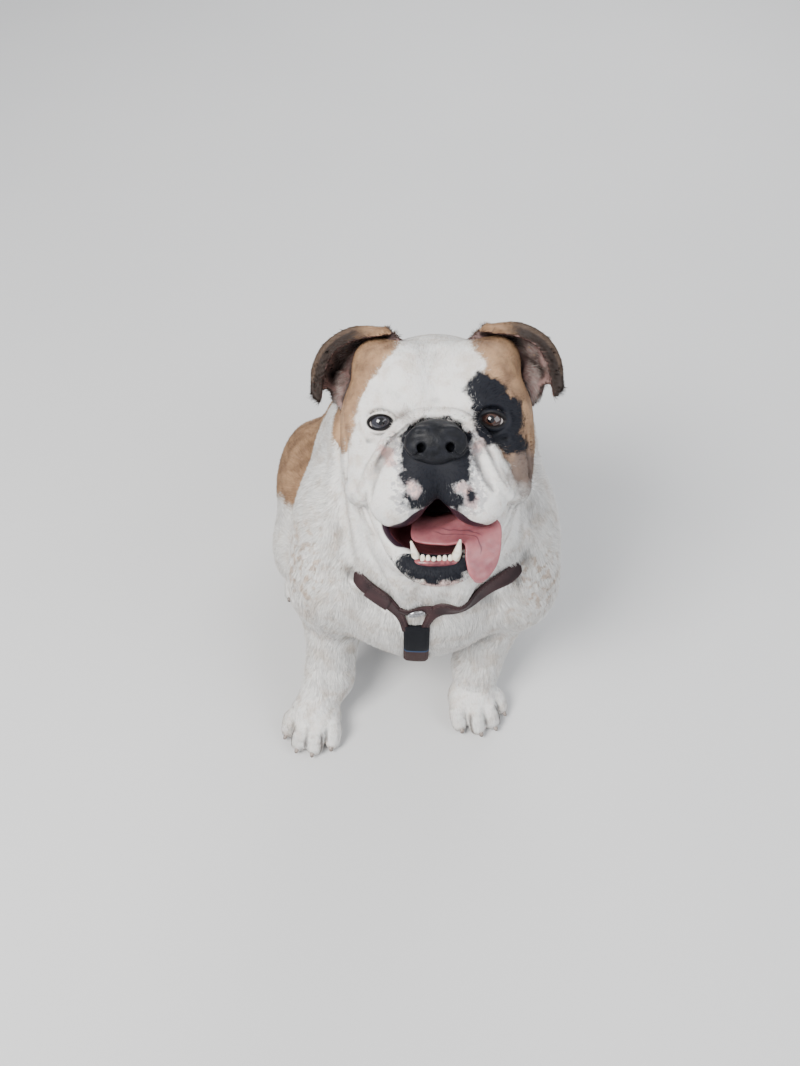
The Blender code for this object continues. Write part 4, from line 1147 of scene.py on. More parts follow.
def coat_colour(finish, odd=0.0):
    """White, then tan, grey, black and pink over it, each frayed at its edge by noise, and
    by an odd value of each tuft's own, so that dark and white hairs mix there."""
    fine, coarse = finish.noise(0.0022, 3.0, 0.6), finish.noise(0.018, 3.0)
    fray = (fine - 0.5) * 0.34 + (coarse - 0.5) * 0.12 + odd

    def edge(name, sharp=0.10):
        return (finish.mark(name) + fray).over(0.5 - sharp, 0.5 + sharp)

    colour = finish.mix((coarse + fine * 0.4).over(0.62, 0.95), WHITE, CREAM)
    speckle = (finish.noise(0.009, 2.0) + finish.mark("ticks") * 0.18).over(0.66, 0.76) * finish.mark("ticks")
    colour = finish.mix(speckle * 0.55, colour, TAN)
    colour = finish.mix(edge("tan", 0.14), colour, finish.mix(coarse.over(0.3, 0.75), TAN, DEEP_TAN))
    colour = finish.mix(edge("grey", 0.3) * 0.85, colour, GREY_BROWN)
    colour = finish.mix(edge("pink", 0.25) * 0.8, colour, PINK)
    spots = (finish.noise(0.0045, 2.0) + (finish.mark("mottle") - 0.5) * 0.25).over(0.52, 0.62)
    colour = finish.mix(spots * finish.mark("mottle").over(0.3, 0.7) * 0.5, colour, BLUE_GREY)
    colour = finish.mix(finish.mark("shadow") * 0.46, colour, (0.42, 0.325, 0.320))
    # Painted shade: the coat near black in the grooves between the toes.
    colour = finish.mix(finish.mark("cleft") * 0.8, colour, (0.085, 0.068, 0.062))
    colour = finish.mix(edge("black", 0.16), colour, BLACK)
    ear = finish.mix((finish.mark("ear_rim") + fray).over(0.0, 0.5), EAR_BROWN, EAR_RIM)
    colour = finish.mix((finish.mark("ear_out") + fray * 0.6).over(0.1, 0.9), colour, ear)
    return colour, fine, coarse


def skin_material():
    finish = Finish("skin", Subsurface_Weight=0.06, Subsurface_Scale=0.004, Specular_IOR_Level=0.22)
    colour, fine, coarse = coat_colour(finish)
    in_cup = finish.mark("cup").over(0.3, 0.7)
    # The cup of the ear: pink to dark by noise, and darker in its furrows as painted shade.
    cup = finish.mix((coarse + finish.mark("furrow") * 0.4).over(0.35, 0.75), CUP_PINK, CUP_DARK)
    colour = finish.mix(in_cup, colour, cup)
    # Painted shade: the colour darkened where the skin lies in a furrow.
    colour = finish.scaled(colour, 1 - finish.mark("furrow") * 0.6)
    wet = finish.mark("mouth").over(0.35, 0.65)
    deep = (finish.mark("deep") + (finish.noise(0.006, 2.0) - 0.5) * 0.4).over(0.4, 0.9)
    gum = finish.mix(deep, (0.026, 0.012, 0.020), (0.24, 0.075, 0.085))
    colour = finish.mix(wet, colour, gum)
    rim = finish.mark("rim").over(0.35, 0.65)
    colour = finish.mix(rim, colour, (0.008, 0.007, 0.008))
    hairs = finish.noise(0.0011, 2.0, 0.7)
    grain = finish.bump(hairs, 0.0006, 0.6)
    rough = 0.62 - wet * 0.34 - rim * 0.12
    return finish.use(Base_Color=colour, Roughness=rough, Normal=grain)


skin_mesh.materials.append(skin_material())


# %% Helpers for the smaller pieces
def closed_mesh(name, points, faces):
    """A mesh of a closed shell, its faces turned outwards."""
    mesh = mesh_from(name, points, faces)
    work = bmesh.new()
    work.from_mesh(mesh)
    bmesh.ops.recalc_face_normals(work, faces=work.faces[:])
    work.to_mesh(mesh)
    work.free()
    mesh.shade_smooth()
    return mesh


def sweep(line, side, up, profiles, closed=False):
    """Points and faces of a profile carried along a line. Each profile is a ring of places
    (across, above) in the plane of the side and up directions; open ends get a cap."""
    steps, corners = profiles.shape[:2]
    places = line[:, None] + profiles[..., :1] * side[:, None] + profiles[..., 1:] * up[:, None]
    faces = grid_faces(steps, corners, closed=True).tolist()
    if closed:
        last, first = np.arange(corners) + (steps - 1) * corners, np.arange(corners)
        faces += np.stack([last, np.roll(last, -1), np.roll(first, -1), first], 1).tolist()
    else:
        faces += [list(range(corners)), list(range(steps * corners - corners, steps * corners))]
    return places.reshape(-1, 3), faces


def gathered(parts):
    """Several (points, faces) as one, their faces numbered on."""
    points, faces, count = [], [], 0
    for some_points, some_faces in parts:
        points.append(some_points)
        faces += [[i + count for i in face_numbers] for face_numbers in some_faces]
        count += len(some_points)
    return np.vstack(points), faces


def along(line, closed=False):
    way = np.roll(line, -1, 0) - np.roll(line, 1, 0) if closed else np.gradient(line, axis=0)
    return unit(way)


def horn(path, radii, flat=1.0, per_span=5, sides=12):
    """A curved, tapering, round-ended solid: rings round a smooth line, the first and last
    shrunk to the line by a quarter circle."""
    rows = spline(np.column_stack([path, radii]), per_span)
    line, reach = rows[:, :3], rows[:, 3]
    way = along(line)
    side = unit(np.cross(way, [0.11, 0.13, 1.0]))
    up = np.cross(side, way)
    turn = np.linspace(0, 2 * pi, sides, endpoint=False)
    ends = np.radians([90, 60, 30])
    start = [(line[0] - way[0] * reach[0] * sin(a), reach[0] * max(cos(a), 0.02)) for a in ends]
    finish = [(line[-1] + way[-1] * reach[-1] * sin(a), reach[-1] * max(cos(a), 0.02)) for a in ends[::-1]]
    line = np.vstack([[p for p, r in start], line, [p for p, r in finish]])
    reach = np.concatenate([[r for p, r in start], reach, [r for p, r in finish]])
    side = np.vstack([np.repeat(side[:1], 3, 0), side, np.repeat(side[-1:], 3, 0)])
    up = np.vstack([np.repeat(up[:1], 3, 0), up, np.repeat(up[-1:], 3, 0)])
    ring = np.stack([np.cos(turn), np.sin(turn) * flat], 1)
    return sweep(line, side, up, reach[:, None, None] * ring)


# %% [markdown]
# A bulldog's nose is broad and set back between the folds. Its leather is wet, black and
# pebbled, with wide nostrils that end in a slit to the side, and a groove down the middle
# that runs on into the lip.

# %% The nose
NOSE_CELL = 0.0008


def nose_masses():
    masses = [face_ball(0, -0.018, 0.037, (0.0275, 0.0215, 0.0195), 0.004)]
    for side in (1, -1):
        nostril = [(0.0120, -0.0190, 0.064), (0.0138, -0.0230, 0.050), (0.0155, -0.0245, 0.038)]
        slit = [(0.0140, -0.0280, 0.0540), (0.0200, -0.0315, 0.0503), (0.0255, -0.0290, 0.0482),
                (0.0285, -0.0240, 0.0465)]
        wing = [(0.0085, -0.006, 0.0515), (0.0175, -0.0065, 0.0500), (0.0240, -0.0135, 0.0440)]
        masses += [
            face_ball(side * 0.0165, -0.021, 0.043, (0.0130, 0.0130, 0.0125), 0.004),
            face_limb(mirrored(wing, side), [0.0016, 0.0028, 0.0024], 0.006),
            face_limb(mirrored(nostril, side), [0.0035, 0.0041, 0.0036], 0.0020, -1),
            face_limb(mirrored(slit, side), [0.0030, 0.0023, 0.0019, 0.0010], 0.0015, -1),
        ]
    groove = [(0, -0.010, 0.0590), (0, -0.026, 0.0580), (0, -0.042, 0.052)]
    masses.append(face_limb(groove, [0.0008, 0.0013, 0.0013], 0.003, -1))
    return masses


def inside_solid(masses, depth):
    return lambda points: distance_to(masses, points) + depth


nose_field = inside_solid(nose_masses(), 0.0)
nose_middle = face(0, -0.020, 0.040)
nose_points, nose_faces = net(nose_field, nose_middle - 0.036, nose_middle + 0.036, NOSE_CELL)
nose_points = settle(nose_field, nose_points)
nose_mesh = closed_mesh("nose", nose_points, nose_faces.tolist())
nose_places = points_of(nose_mesh)
# How deep each point of the nose lies in a groove, for painted shade in the nostrils and the middle groove.
mark_points(nose_mesh, furrow=step_up(furrows(nose_places, normals_of(nose_mesh),
            np.array([f[:3] for f in nose_faces.tolist()] + [[f[2], f[3], f[0]] for f in nose_faces.tolist()])),
            0.0001, 0.0005))


def nose_material():
    finish = Finish("nose", Coat_Roughness=0.3, Specular_IOR_Level=0.2)
    pebble = finish.cells(0.0013, spread=0.9)
    tone = finish.mix(finish.noise(0.006, 3.0).over(0.3, 0.8), (0.0040, 0.0045, 0.0065), (0.0120, 0.0130, 0.0180))
    # Painted shade: near black in the nostrils and the grooves of the nose.
    tone = finish.mix(finish.mark("furrow") * 0.8, tone, (0.002, 0.002, 0.003))
    bumps = finish.bump(pebble, 0.00035, 0.8)
    rough = 0.42 + finish.noise(0.004) * 0.25
    return finish.use(Base_Color=tone, Roughness=rough, Coat_Weight=finish.noise(0.01).over(0.35, 0.7) * 0.12,
                      Normal=bumps)


nose_mesh.materials.append(nose_material())
place_piece("nose_leather", nose_mesh, "nose", "nose")
print("nose:", len(nose_faces), "faces")

# %% [markdown]
# An eye is a ball whose front, the cornea, bulges a little. Iris, black pupil and the white at
# its rim are all colours of one glossy surface: the left iris is brown, and the right one is
# blue-grey, a painted reflection of a pale sky in place of its brown. Both eyes look up at the camera.

# %% Eyes
IRIS_RADIUS, PUPIL_RADIUS = 0.0096, 0.0036
CORNEA_RISE = 0.0011


def eye_mesh(side):
    """A ball round the line of sight: rings at equal steps of angle from it, each point
    drawn out by the cornea's rise where it is nearer the line than the iris."""
    centre = face(side * EYE_SPACING / 2, 0, -EYE_DEPTH)
    sight = unit(np.array(CAMERA_PLACE) - centre)
    sight = unit(sight + HEAD[0] * (-0.10 if side > 0 else 0.02) + HEAD[1] * 0.03)
    across = unit(np.cross(HEAD[1], sight))
    upward = np.cross(sight, across)
    polar = np.linspace(0, pi, 41)[:, None]
    around = np.linspace(0, 2 * pi, 48, endpoint=False)[None]
    off = np.sin(polar) * EYE_RADIUS
    rise = CORNEA_RISE * np.clip(1 - (off / (IRIS_RADIUS * 1.1)) ** 2, 0, 1) ** 1.5 * (polar < pi / 2)
    reach = EYE_RADIUS - 0.00015 + rise
    local = [np.sin(polar) * np.cos(around), np.sin(polar) * np.sin(around), np.cos(polar) + 0 * around]
    places = centre + reach[..., None] * sum(
        part[..., None] * way for part, way in zip(local, (across, upward, sight))
    )
    faces = grid_faces(41, 48, closed=True)
    mesh = closed_mesh("eyeball", places.reshape(-1, 3), faces.tolist())
    mark_points(mesh, off_sight=np.where(polar < pi / 2, off, 0.02).repeat(48, 1).ravel(),
                turn=np.broadcast_to(around, (41, 48)).ravel())
    work = bmesh.new()
    work.from_mesh(mesh)
    bmesh.ops.remove_doubles(work, verts=work.verts[:], dist=1e-6)
    bmesh.ops.recalc_face_normals(work, faces=work.faces[:])
    work.to_mesh(mesh)
    work.free()
    mesh.shade_smooth()
    return mesh


def eye_material(name, iris_and_reflection_in, iris_and_reflection_out):
    finish = Finish(name, Roughness=0.06, Coat_Weight=1.0, Coat_Roughness=0.02)
    off = finish.mark("off_sight")
    streak = finish.noise(0.0007, 3.0, 0.7)
    iris = finish.mix((off * 150 + streak * 0.5).over(0.55, 1.15), iris_and_reflection_in, iris_and_reflection_out)
    veins = finish.noise(0.0022, 3.0, 0.7).over(0.55, 0.7) * 0.35
    sclera = finish.mix(veins, (0.50, 0.45, 0.42), (0.34, 0.13, 0.11))
    colour = finish.mix(off.over(PUPIL_RADIUS - 0.0003, PUPIL_RADIUS + 0.0003), (0.004, 0.004, 0.006), iris)
    colour = finish.mix(off.over(IRIS_RADIUS - 0.0009, IRIS_RADIUS - 0.0003), colour, (0.020, 0.016, 0.018))
    colour = finish.mix(off.over(IRIS_RADIUS - 0.0002, IRIS_RADIUS + 0.0007), colour, sclera)
    return finish.use(Base_Color=colour)


# The right eye's blue-grey iris colours are a painted reflection of a pale sky; the left eye keeps its own brown.
for word, side, inner, outer in (
    ("left", 1, (0.085, 0.036, 0.022), (0.030, 0.014, 0.011)),
    ("right", -1, (0.036, 0.034, 0.043), (0.026, 0.026, 0.036)),
):
    mesh = eye_mesh(side)
    mesh.materials.append(eye_material("eye_" + word, inner, outer))
    place_piece("eyeball_" + word, mesh, "eye", "eye_" + word)
print("two eyes of", round(EYE_RADIUS * 2000, 1), "mm")

# %% [markdown]
# The tongue lies in the jaw, turns over the left lip and hangs. It is a flat profile,
# thick in the middle and thin at its edges, carried along a bent line, with a groove down
# its middle. Small papillae make it rough, and spit makes it shine.

# %% The tongue
TONGUE_THICKNESS = 0.0060
TONGUE_CUP = 0.003
TONGUE_LINE = [
    (0, -0.098, -0.060), (0, -0.100, -0.036), (0, -0.109, -0.016), (0.024, -0.110, -0.008),
    (0.0425, -0.111, 0.004), (0.0440, -0.129, 0.011), (0.0435, -0.145, 0.013), (0.0420, -0.156, 0.013),
]
TONGUE_HALF = [
    (-0.022, 0, 0), (-0.026, -0.002, 0.002), (-0.025, -0.010, 0.009), (-0.019, -0.013, 0.010),
    (-0.0180, -0.009, 0.009), (-0.0175, -0.006, 0.008), (-0.0140, -0.004, 0.007), (-0.0070, -0.002, 0.003),
]
TONGUE_AROUND = 40


def tongue_mesh():
    """Rings of a flat oval: across by the cosine of an angle, and above by the root of its
    sine, less a groove near the middle of the upper side."""
    middle, half_way = spline(TONGUE_LINE, 9), spline(TONGUE_HALF, 9)
    turn = np.linspace(0, 2 * pi, TONGUE_AROUND, endpoint=False)
    share = np.cos(turn)
    height = np.sign(np.sin(turn)) * np.abs(np.sin(turn)) ** 0.6
    out = unit(np.cross(along(middle), half_way))
    cup = TONGUE_CUP * (share**2 - 0.4)
    length = np.linspace(0, 1, len(middle))
    thin = np.where(length < 0.9, 1, np.sqrt(np.clip((1 - length) / 0.1, 0.02, 1)))
    groove = 0.0012 * np.exp(-((share / 0.10) ** 2)) * (np.sin(turn) > 0)
    ripple = 0.0005 * np.sin(length * 38)[:, None] * (1 - share**2)
    thick = TONGUE_THICKNESS * 0.48 * height * thin[:, None] - groove + ripple
    places = middle[:, None] + share[None, :, None] * half_way[:, None]
    places = places + cup[None, :, None] * np.array([0, 1, 0]) + thick[..., None] * out[:, None]
    rows, columns = places.shape[:2]
    faces = grid_faces(rows, columns, closed=True).tolist()
    faces += [list(range(columns)), list(range(rows * columns - columns, rows * columns))]
    mesh = closed_mesh("tongue", EYE_LINE + places.reshape(-1, 3) @ HEAD, faces)
    mark_points(mesh, across=np.tile(share, rows), length=np.repeat(length, columns),
                upper=np.tile(np.sin(turn) > 0, rows))
    return mesh


def tongue_material():
    finish = Finish("tongue", Subsurface_Weight=0.15, Subsurface_Scale=0.004, Coat_Roughness=0.18)
    across, length = finish.mark("across"), finish.mark("length")
    tone = finish.mix(finish.noise(0.012, 3.0).over(0.3, 0.75), (0.36, 0.130, 0.140), (0.26, 0.080, 0.095))
    edge = (across * across).over(0.55, 1.0)
    tone = finish.mix(edge * 0.6, tone, (0.40, 0.120, 0.140))
    wobble = finish.noise(0.02, 2.0) * 0.5
    for offset, far in ((0.02, 0.72), (0.30, 0.60)):
        near_line = (across - wobble + offset).math("ABSOLUTE", across - wobble + offset)
        line = (1 - near_line.over(0.012, 0.055)) * length.over(0.25, 0.35) * (1 - length.over(far - 0.05, far))
        tone = finish.mix(line * 0.75, tone, (0.10, 0.030, 0.045))
    papillae = finish.cells(0.0009)
    bumps = finish.bump(papillae, 0.00025, 0.7)
    return finish.use(Base_Color=tone, Roughness=0.36 + finish.noise(0.006) * 0.2,
                      Coat_Weight=finish.noise(0.008).over(0.4, 0.65) * 0.5, Normal=bumps)


tongue = tongue_mesh()
tongue.materials.append(tongue_material())
place_piece("tongue_flesh", tongue, "tongue", "tongue")
print("tongue:", len(tongue.polygons), "faces")

# %% [markdown]
# Only the lower teeth show: two curved canines and six small round incisors between them,
# in a ridge of gum. The jaw's solid holds them too, so these pieces only stand over it.

# %% Teeth and gum
CANINES = [
    [(-0.0195, -0.1400, 0.004), (-0.0225, -0.1300, 0.0085), (-0.0262, -0.1160, 0.0120)],
    [(0.0160, -0.1350, 0.0085), (0.0187, -0.1262, 0.0150), (0.0214, -0.1140, 0.0210)],
]
INCISORS = 6
INCISOR_PITCH = 0.0054


def teeth_parts():
    parts = [horn([face(*place) for place in tooth], [0.0052, 0.0042, 0.0012], per_span=6, sides=16)
             for tooth in CANINES]
    for i in range(INCISORS):
        left = -0.0018 + (i - (INCISORS - 1) / 2) * INCISOR_PITCH
        lift = 0.0016 * ((i - 2.5) / 2.5) ** 2 + 0.0007 * sin(i * 2.3)
        crown = [(left, -0.1385, 0.0115), (left, -0.1345 + lift, 0.0138), (left, -0.1318 + lift, 0.0144)]
        parts.append(horn([face(*place) for place in crown], [0.0020, 0.0027, 0.0022], 0.85, 3, 12))
    return parts


def tooth_material():
    finish = Finish("tooth", Roughness=0.22, Coat_Weight=0.3, Subsurface_Weight=0.1, Subsurface_Scale=0.002)
    tone = finish.mix(finish.noise(0.004, 2.0).over(0.35, 0.75), (0.86, 0.82, 0.72), (0.70, 0.62, 0.47))
    return finish.use(Base_Color=tone, Normal=finish.bump(finish.noise(0.0008), 0.0001, 0.4))


teeth_mesh = closed_mesh("teeth", *gathered(teeth_parts()))
teeth_mesh.materials.append(tooth_material())
place_piece("teeth", teeth_mesh, "tooth")

gum_line = [
    (-0.0290, -0.1365, 0.004), (-0.0190, -0.1368, 0.0112), (-0.0020, -0.1372, 0.0136), (0.0150, -0.1368, 0.0112),
    (0.0250, -0.1365, 0.004),
]
gum_mesh = closed_mesh("gum", *horn([face(*place) for place in gum_line], [0.003, 0.0040, 0.0036, 0.0040, 0.003],
                                    per_span=10, sides=20))


def gum_material():
    finish = Finish("gum", Roughness=0.35, Coat_Weight=0.25, Subsurface_Weight=0.1, Subsurface_Scale=0.003)
    tone = finish.mix(finish.noise(0.005, 3.0).over(0.35, 0.65), (0.30, 0.080, 0.085), (0.12, 0.030, 0.040))
    return finish.use(Base_Color=tone, Normal=finish.bump(finish.noise(0.002), 0.0003, 0.5))


gum_mesh.materials.append(gum_material())
place_piece("gum", gum_mesh, "mouth")

# %% Claws
CLAW_REACH = -0.0036


def claw_parts(place, yaw, scale):
    """The claws of a paw: short bent horns that leave each toe above its pad."""
    parts = []
    for x, reach, radius in TOES:
        root = paw_spot(place, yaw, scale, x * 1.07, reach + radius * 0.45, 0.0125)
        bend = paw_spot(place, yaw, scale, x * 1.11, reach + radius * 0.95, 0.0100)
        tip = paw_spot(place, yaw, scale, x * 1.13, reach + radius + CLAW_REACH, 0.0045)
        parts.append(horn([root, bend, tip], [0.0030, 0.0024, 0.0014], 0.85, 5, 12))
    return parts


def claw_material():
    finish = Finish("claw", Coat_Weight=0.2)
    tone = finish.mix(finish.noise(0.004, 3.0).over(0.3, 0.7), (0.20, 0.165, 0.145), (0.34, 0.285, 0.25))
    return finish.use(Base_Color=tone, Roughness=0.42, Normal=finish.bump(finish.noise(0.0012), 0.0002, 0.5))


claw_mesh = closed_mesh("claws", *gathered([part for foot in FEET.values() for part in claw_parts(*foot)]))
claw_mesh.materials.append(claw_material())
place_piece("claws", claw_mesh, "claw")
print("teeth, gum and claws:", len(teeth_mesh.polygons), len(gum_mesh.polygons), len(claw_mesh.polygons))

# %% [markdown]
# The harness is soft brown leather: a strap round the neck that comes to a loop on the
# breast, one round the girth, a short one along the back, and a black one that goes down
# between the forelegs. Each strap lies on the dog: a line in a plane is drawn onto the
# flesh, and a flat profile with round edges follows it.

# %% Straps
STRAP_WIDTH, BREAST_WIDTH = 0.0215, 0.0290
STRAP_TOP, STRAP_UNDER, SINK = 0.0034, -0.0012, 0.0170
ACROSS_STATIONS = np.linspace(-1, 1, 11)
BARREL = trunk() + neck() + shoulder(1) + shoulder(-1)
FRONT = BARREL + skull() + muzzle()
strap_lines = []


def on_flesh(masses, points, rounds=4):
    return settle(lambda p: distance_to(masses, p), points, rounds)


def outward(masses, points):
    def field(p):
        return distance_to(masses, p)
    return unit(slope_of(field, points, field(points)))


def eased(rows, closed, rounds=2):
    """Rows averaged with their neighbours, the ends of an open line kept."""
    for _ in range(rounds):
        mean = (np.roll(rows, 1, 0) + 2 * rows + np.roll(rows, -1, 0)) / 4
        if not closed:
            mean[0], mean[-1] = rows[0], rows[-1]
        rows = mean
    return rows


def plane_line(masses, centre, normal, angles):
    """Places on the flesh round a centre in a plane; an angle of nought points to the dog's
    left, or ahead where the plane holds no X direction, and a quarter turn points up."""
    normal = unit(normal)
    flat = np.array([0, -1.0, 0]) if abs(normal[0]) > 0.9 else np.array([1.0, 0, 0])
    upright = np.cross(normal, flat)
    upright *= np.sign(upright[2])
    rays = np.cos(np.radians(angles))[:, None] * flat + np.sin(np.radians(angles))[:, None] * upright
    reach = np.linspace(0.26, 0.02, 161)
    places = np.array(centre) + reach[None, :, None] * rays[:, None, :]
    inside = distance_to(masses, places.reshape(-1, 3)).reshape(len(angles), -1) < 0
    return np.array(centre) + reach[np.argmax(inside, axis=1), None] * rays


def strap_mesh(name, masses, line, widths, closed=False, top=STRAP_TOP, under=STRAP_UNDER, sunk=0.0):
    """A band on the flesh: across the line at eleven stations, each drawn onto the flesh,
    and lifted by the strap's thickness, which falls to nothing at its edges as a fourth
    root does. Where it is sunk, loose skin and hair close over it."""
    line = eased(on_flesh(masses, line), closed)
    out = eased(outward(masses, line), closed, 4)
    aside = unit(np.cross(along(line, closed), out))
    widths = np.broadcast_to(widths, len(line))
    spread = line[:, None] + (ACROSS_STATIONS[None, :, None] * widths[:, None, None] / 2) * aside[:, None]
    on_skin = on_flesh(masses, spread.reshape(-1, 3)).reshape(spread.shape)
    on_skin = eased(on_skin, closed, 3)
    sunk = np.broadcast_to(sunk, len(line))
    run = np.concatenate([[0], np.cumsum(np.linalg.norm(np.diff(line, axis=0), axis=1))])
    covers = (sunk < 0.5) & (closed | (np.minimum(run, run[-1] - run) > widths * 0.45))
    strap_lines.append(np.column_stack([line, widths / 2])[covers])
    middle = (top + under) / 2 - SINK * sunk[:, None]
    swell = (top - under) / 2 * (1 - 0.985 * ACROSS_STATIONS**8) ** 0.5
    upper = on_skin + (middle + swell)[..., None] * out[:, None]
    lower = on_skin + (middle - swell)[..., None] * out[:, None]
    ring = np.concatenate([upper, lower[:, ::-1]], 1)
    rows, columns = ring.shape[:2]
    faces = grid_faces(rows, columns, closed=True).tolist()
    if closed:
        last, first = np.arange(columns) + (rows - 1) * columns, np.arange(columns)
        faces += np.stack([last, np.roll(last, -1), np.roll(first, -1), first], 1).tolist()
    else:
        faces += [list(range(columns)), list(range(rows * columns - columns, rows * columns))]
    mesh = closed_mesh(name, ring.reshape(-1, 3), faces)
    across = np.concatenate([ACROSS_STATIONS, ACROSS_STATIONS[::-1]])
    mark_points(mesh, run=np.repeat(run, columns), across=np.tile(across, rows),
                half_width=np.repeat(widths / 2, columns))
    return mesh


GIRTH_CENTRE, GIRTH_NORMAL = (-0.012, 0.012, 0.25), (0, 0.87, -0.49)
BREAST_CENTRE, BACK_CENTRE = (-0.0165, -0.03, 0.24), (-0.010, 0.02, 0.30)
CHEST_RING = np.array([-0.0165, -0.1803, 0.2609])
BACK_RING = np.array([-0.010, 0.0978, 0.3995])
FRONT_ANGLE = -94.0
chest_middle = on_flesh(FRONT, CHEST_RING[None])[0]
chest_down = unit(np.cross([1.0, 0, 0], outward(FRONT, chest_middle[None])[0]))
STRAP_END = [(0.0320, -0.0065), (0.0210, -0.0010), (0.0168, 0.0070), (0.0148, 0.0150),
             (0.0102, 0.0240), (0.0092, 0.0330)]
SHOWN_TO = {-1: 26, 1: 42}
HIDDEN_TO = 130


def even_line(line, pitch, rounds=5):
    """A line's points spread evenly along it and eased."""
    for _ in range(2):
        run = np.concatenate([[0], np.cumsum(np.linalg.norm(np.diff(line, axis=0), axis=1))])
        steps = np.linspace(0, run[-1], int(run[-1] / pitch))
        line = eased(np.stack([np.interp(steps, run, line[:, i]) for i in range(3)], 1), False, rounds)
    return line


def strap_end(side):
    """The end of a neck strap: down the breast beside the gap, to the black strap."""
    places = [chest_middle + side * aside * np.array([1.0, 0, 0]) + down * chest_down for aside, down in STRAP_END]
    return on_flesh(FRONT, np.array(places))


neck_angles = np.linspace(FRONT_ANGLE + 20, FRONT_ANGLE + 340, 170)
neck_line = plane_line(FRONT, NECK_CENTRE, NECK_NORMAL, neck_angles)
neck_line = even_line(np.vstack([strap_end(1)[::-1], neck_line, strap_end(-1)]), 0.0042)
neck_run = np.concatenate([[0], np.cumsum(np.linalg.norm(np.diff(neck_line, axis=0), axis=1))])
from_end = np.minimum(neck_run, neck_run[-1] - neck_run)
neck_widths = 0.0088 + (STRAP_WIDTH - 0.0088) * step_up(from_end, 0.016, 0.040)
neck_off = neck_line - NECK_CENTRE
neck_turn = np.degrees(np.arctan2(np.abs(neck_off[:, 0] + 0.0085), -neck_off[:, 1] * np.sqrt(1.64)))
shown_to = np.where(neck_off[:, 0] > 0, SHOWN_TO[1], SHOWN_TO[-1])
neck_sunk = step_up(neck_turn, shown_to, shown_to + 16) * (1 - step_up(neck_turn, HIDDEN_TO, HIDDEN_TO + 14))
yoke_line = on_flesh(FRONT, chest_middle + np.linspace(-0.018, 0.018, 19)[:, None] * np.array([1.0, 0, 0]))
patch_line = neck_line[(neck_off[:, 0] < -0.0085) & (from_end > 0.040) & (from_end < 0.074)]


def leather_material():
    finish = Finish("leather", Coat_Roughness=0.4, Specular_IOR_Level=0.2, Coat_Weight=0.04)
    across, run, half_width = finish.mark("across"), finish.mark("run"), finish.mark("half_width")
    grain, broad = finish.cells(0.0011), finish.noise(0.02, 3.0)
    tone = finish.mix(broad.over(0.3, 0.75), (0.040, 0.018, 0.020), (0.019, 0.010, 0.012))
    worn = (across * across * across * across + (broad - 0.5) * 0.5).over(0.75, 1.15)
    tone = finish.mix(worn * 0.3, tone, (0.085, 0.052, 0.046))
    from_edge = (1 - across.math("ABSOLUTE", across)) * half_width
    seam = 1 - (from_edge - 0.0026).math("ABSOLUTE", from_edge - 0.0026).over(0.0003, 0.0007)
    beat = (run * (2 * pi / 0.0042)).math("SINE", run * (2 * pi / 0.0042)).over(-0.35, -0.1)
    stitch = seam * beat
    tone = finish.mix(stitch * 0.6, tone, (0.075, 0.048, 0.044))
    height = grain * 0.25 + stitch * 0.9 - seam * 0.5 + finish.noise(0.004, 3.0) * 0.4
    return finish.use(Base_Color=tone, Roughness=0.46 + broad * 0.2 - worn * 0.1,
                      Normal=finish.bump(height, 0.0005, 0.8))


def webbing_material():
    finish = Finish("webbing", Specular_IOR_Level=0.12)
    across, run, half_width = finish.mark("across"), finish.mark("run"), finish.mark("half_width")
    weft = (run * (2 * pi / 0.0018)).math("SINE", run * (2 * pi / 0.0018))
    warp = (across * half_width * (2 * pi / 0.0015)).math("SINE", across * half_width * (2 * pi / 0.0015))
    weave = weft * warp
    tone = finish.mix(weave.over(-0.6, 0.8), (0.004, 0.0045, 0.006), (0.014, 0.015, 0.020))
    # Below the blue line, towards the forelegs, the strap is reddish brown, and a blue band crosses it at the line,
    # raised a little by the bump.
    below = (BLUE_LINE - run).over(-0.0005, 0.0005)
    tone = finish.mix(below, tone, finish.mix(weave.over(-0.6, 0.8), (0.035, 0.018, 0.018), (0.065, 0.036, 0.034)))
    blue_band = 1 - (run - BLUE_LINE).math("ABSOLUTE", run - BLUE_LINE).over(0.0009, 0.0017)
    tone = finish.mix(blue_band, tone, (0.035, 0.075, 0.16))
    return finish.use(Base_Color=tone, Roughness=0.62 + finish.noise(0.01) * 0.2,
                      Normal=finish.bump(weave + blue_band * 2, 0.0004, 0.7))


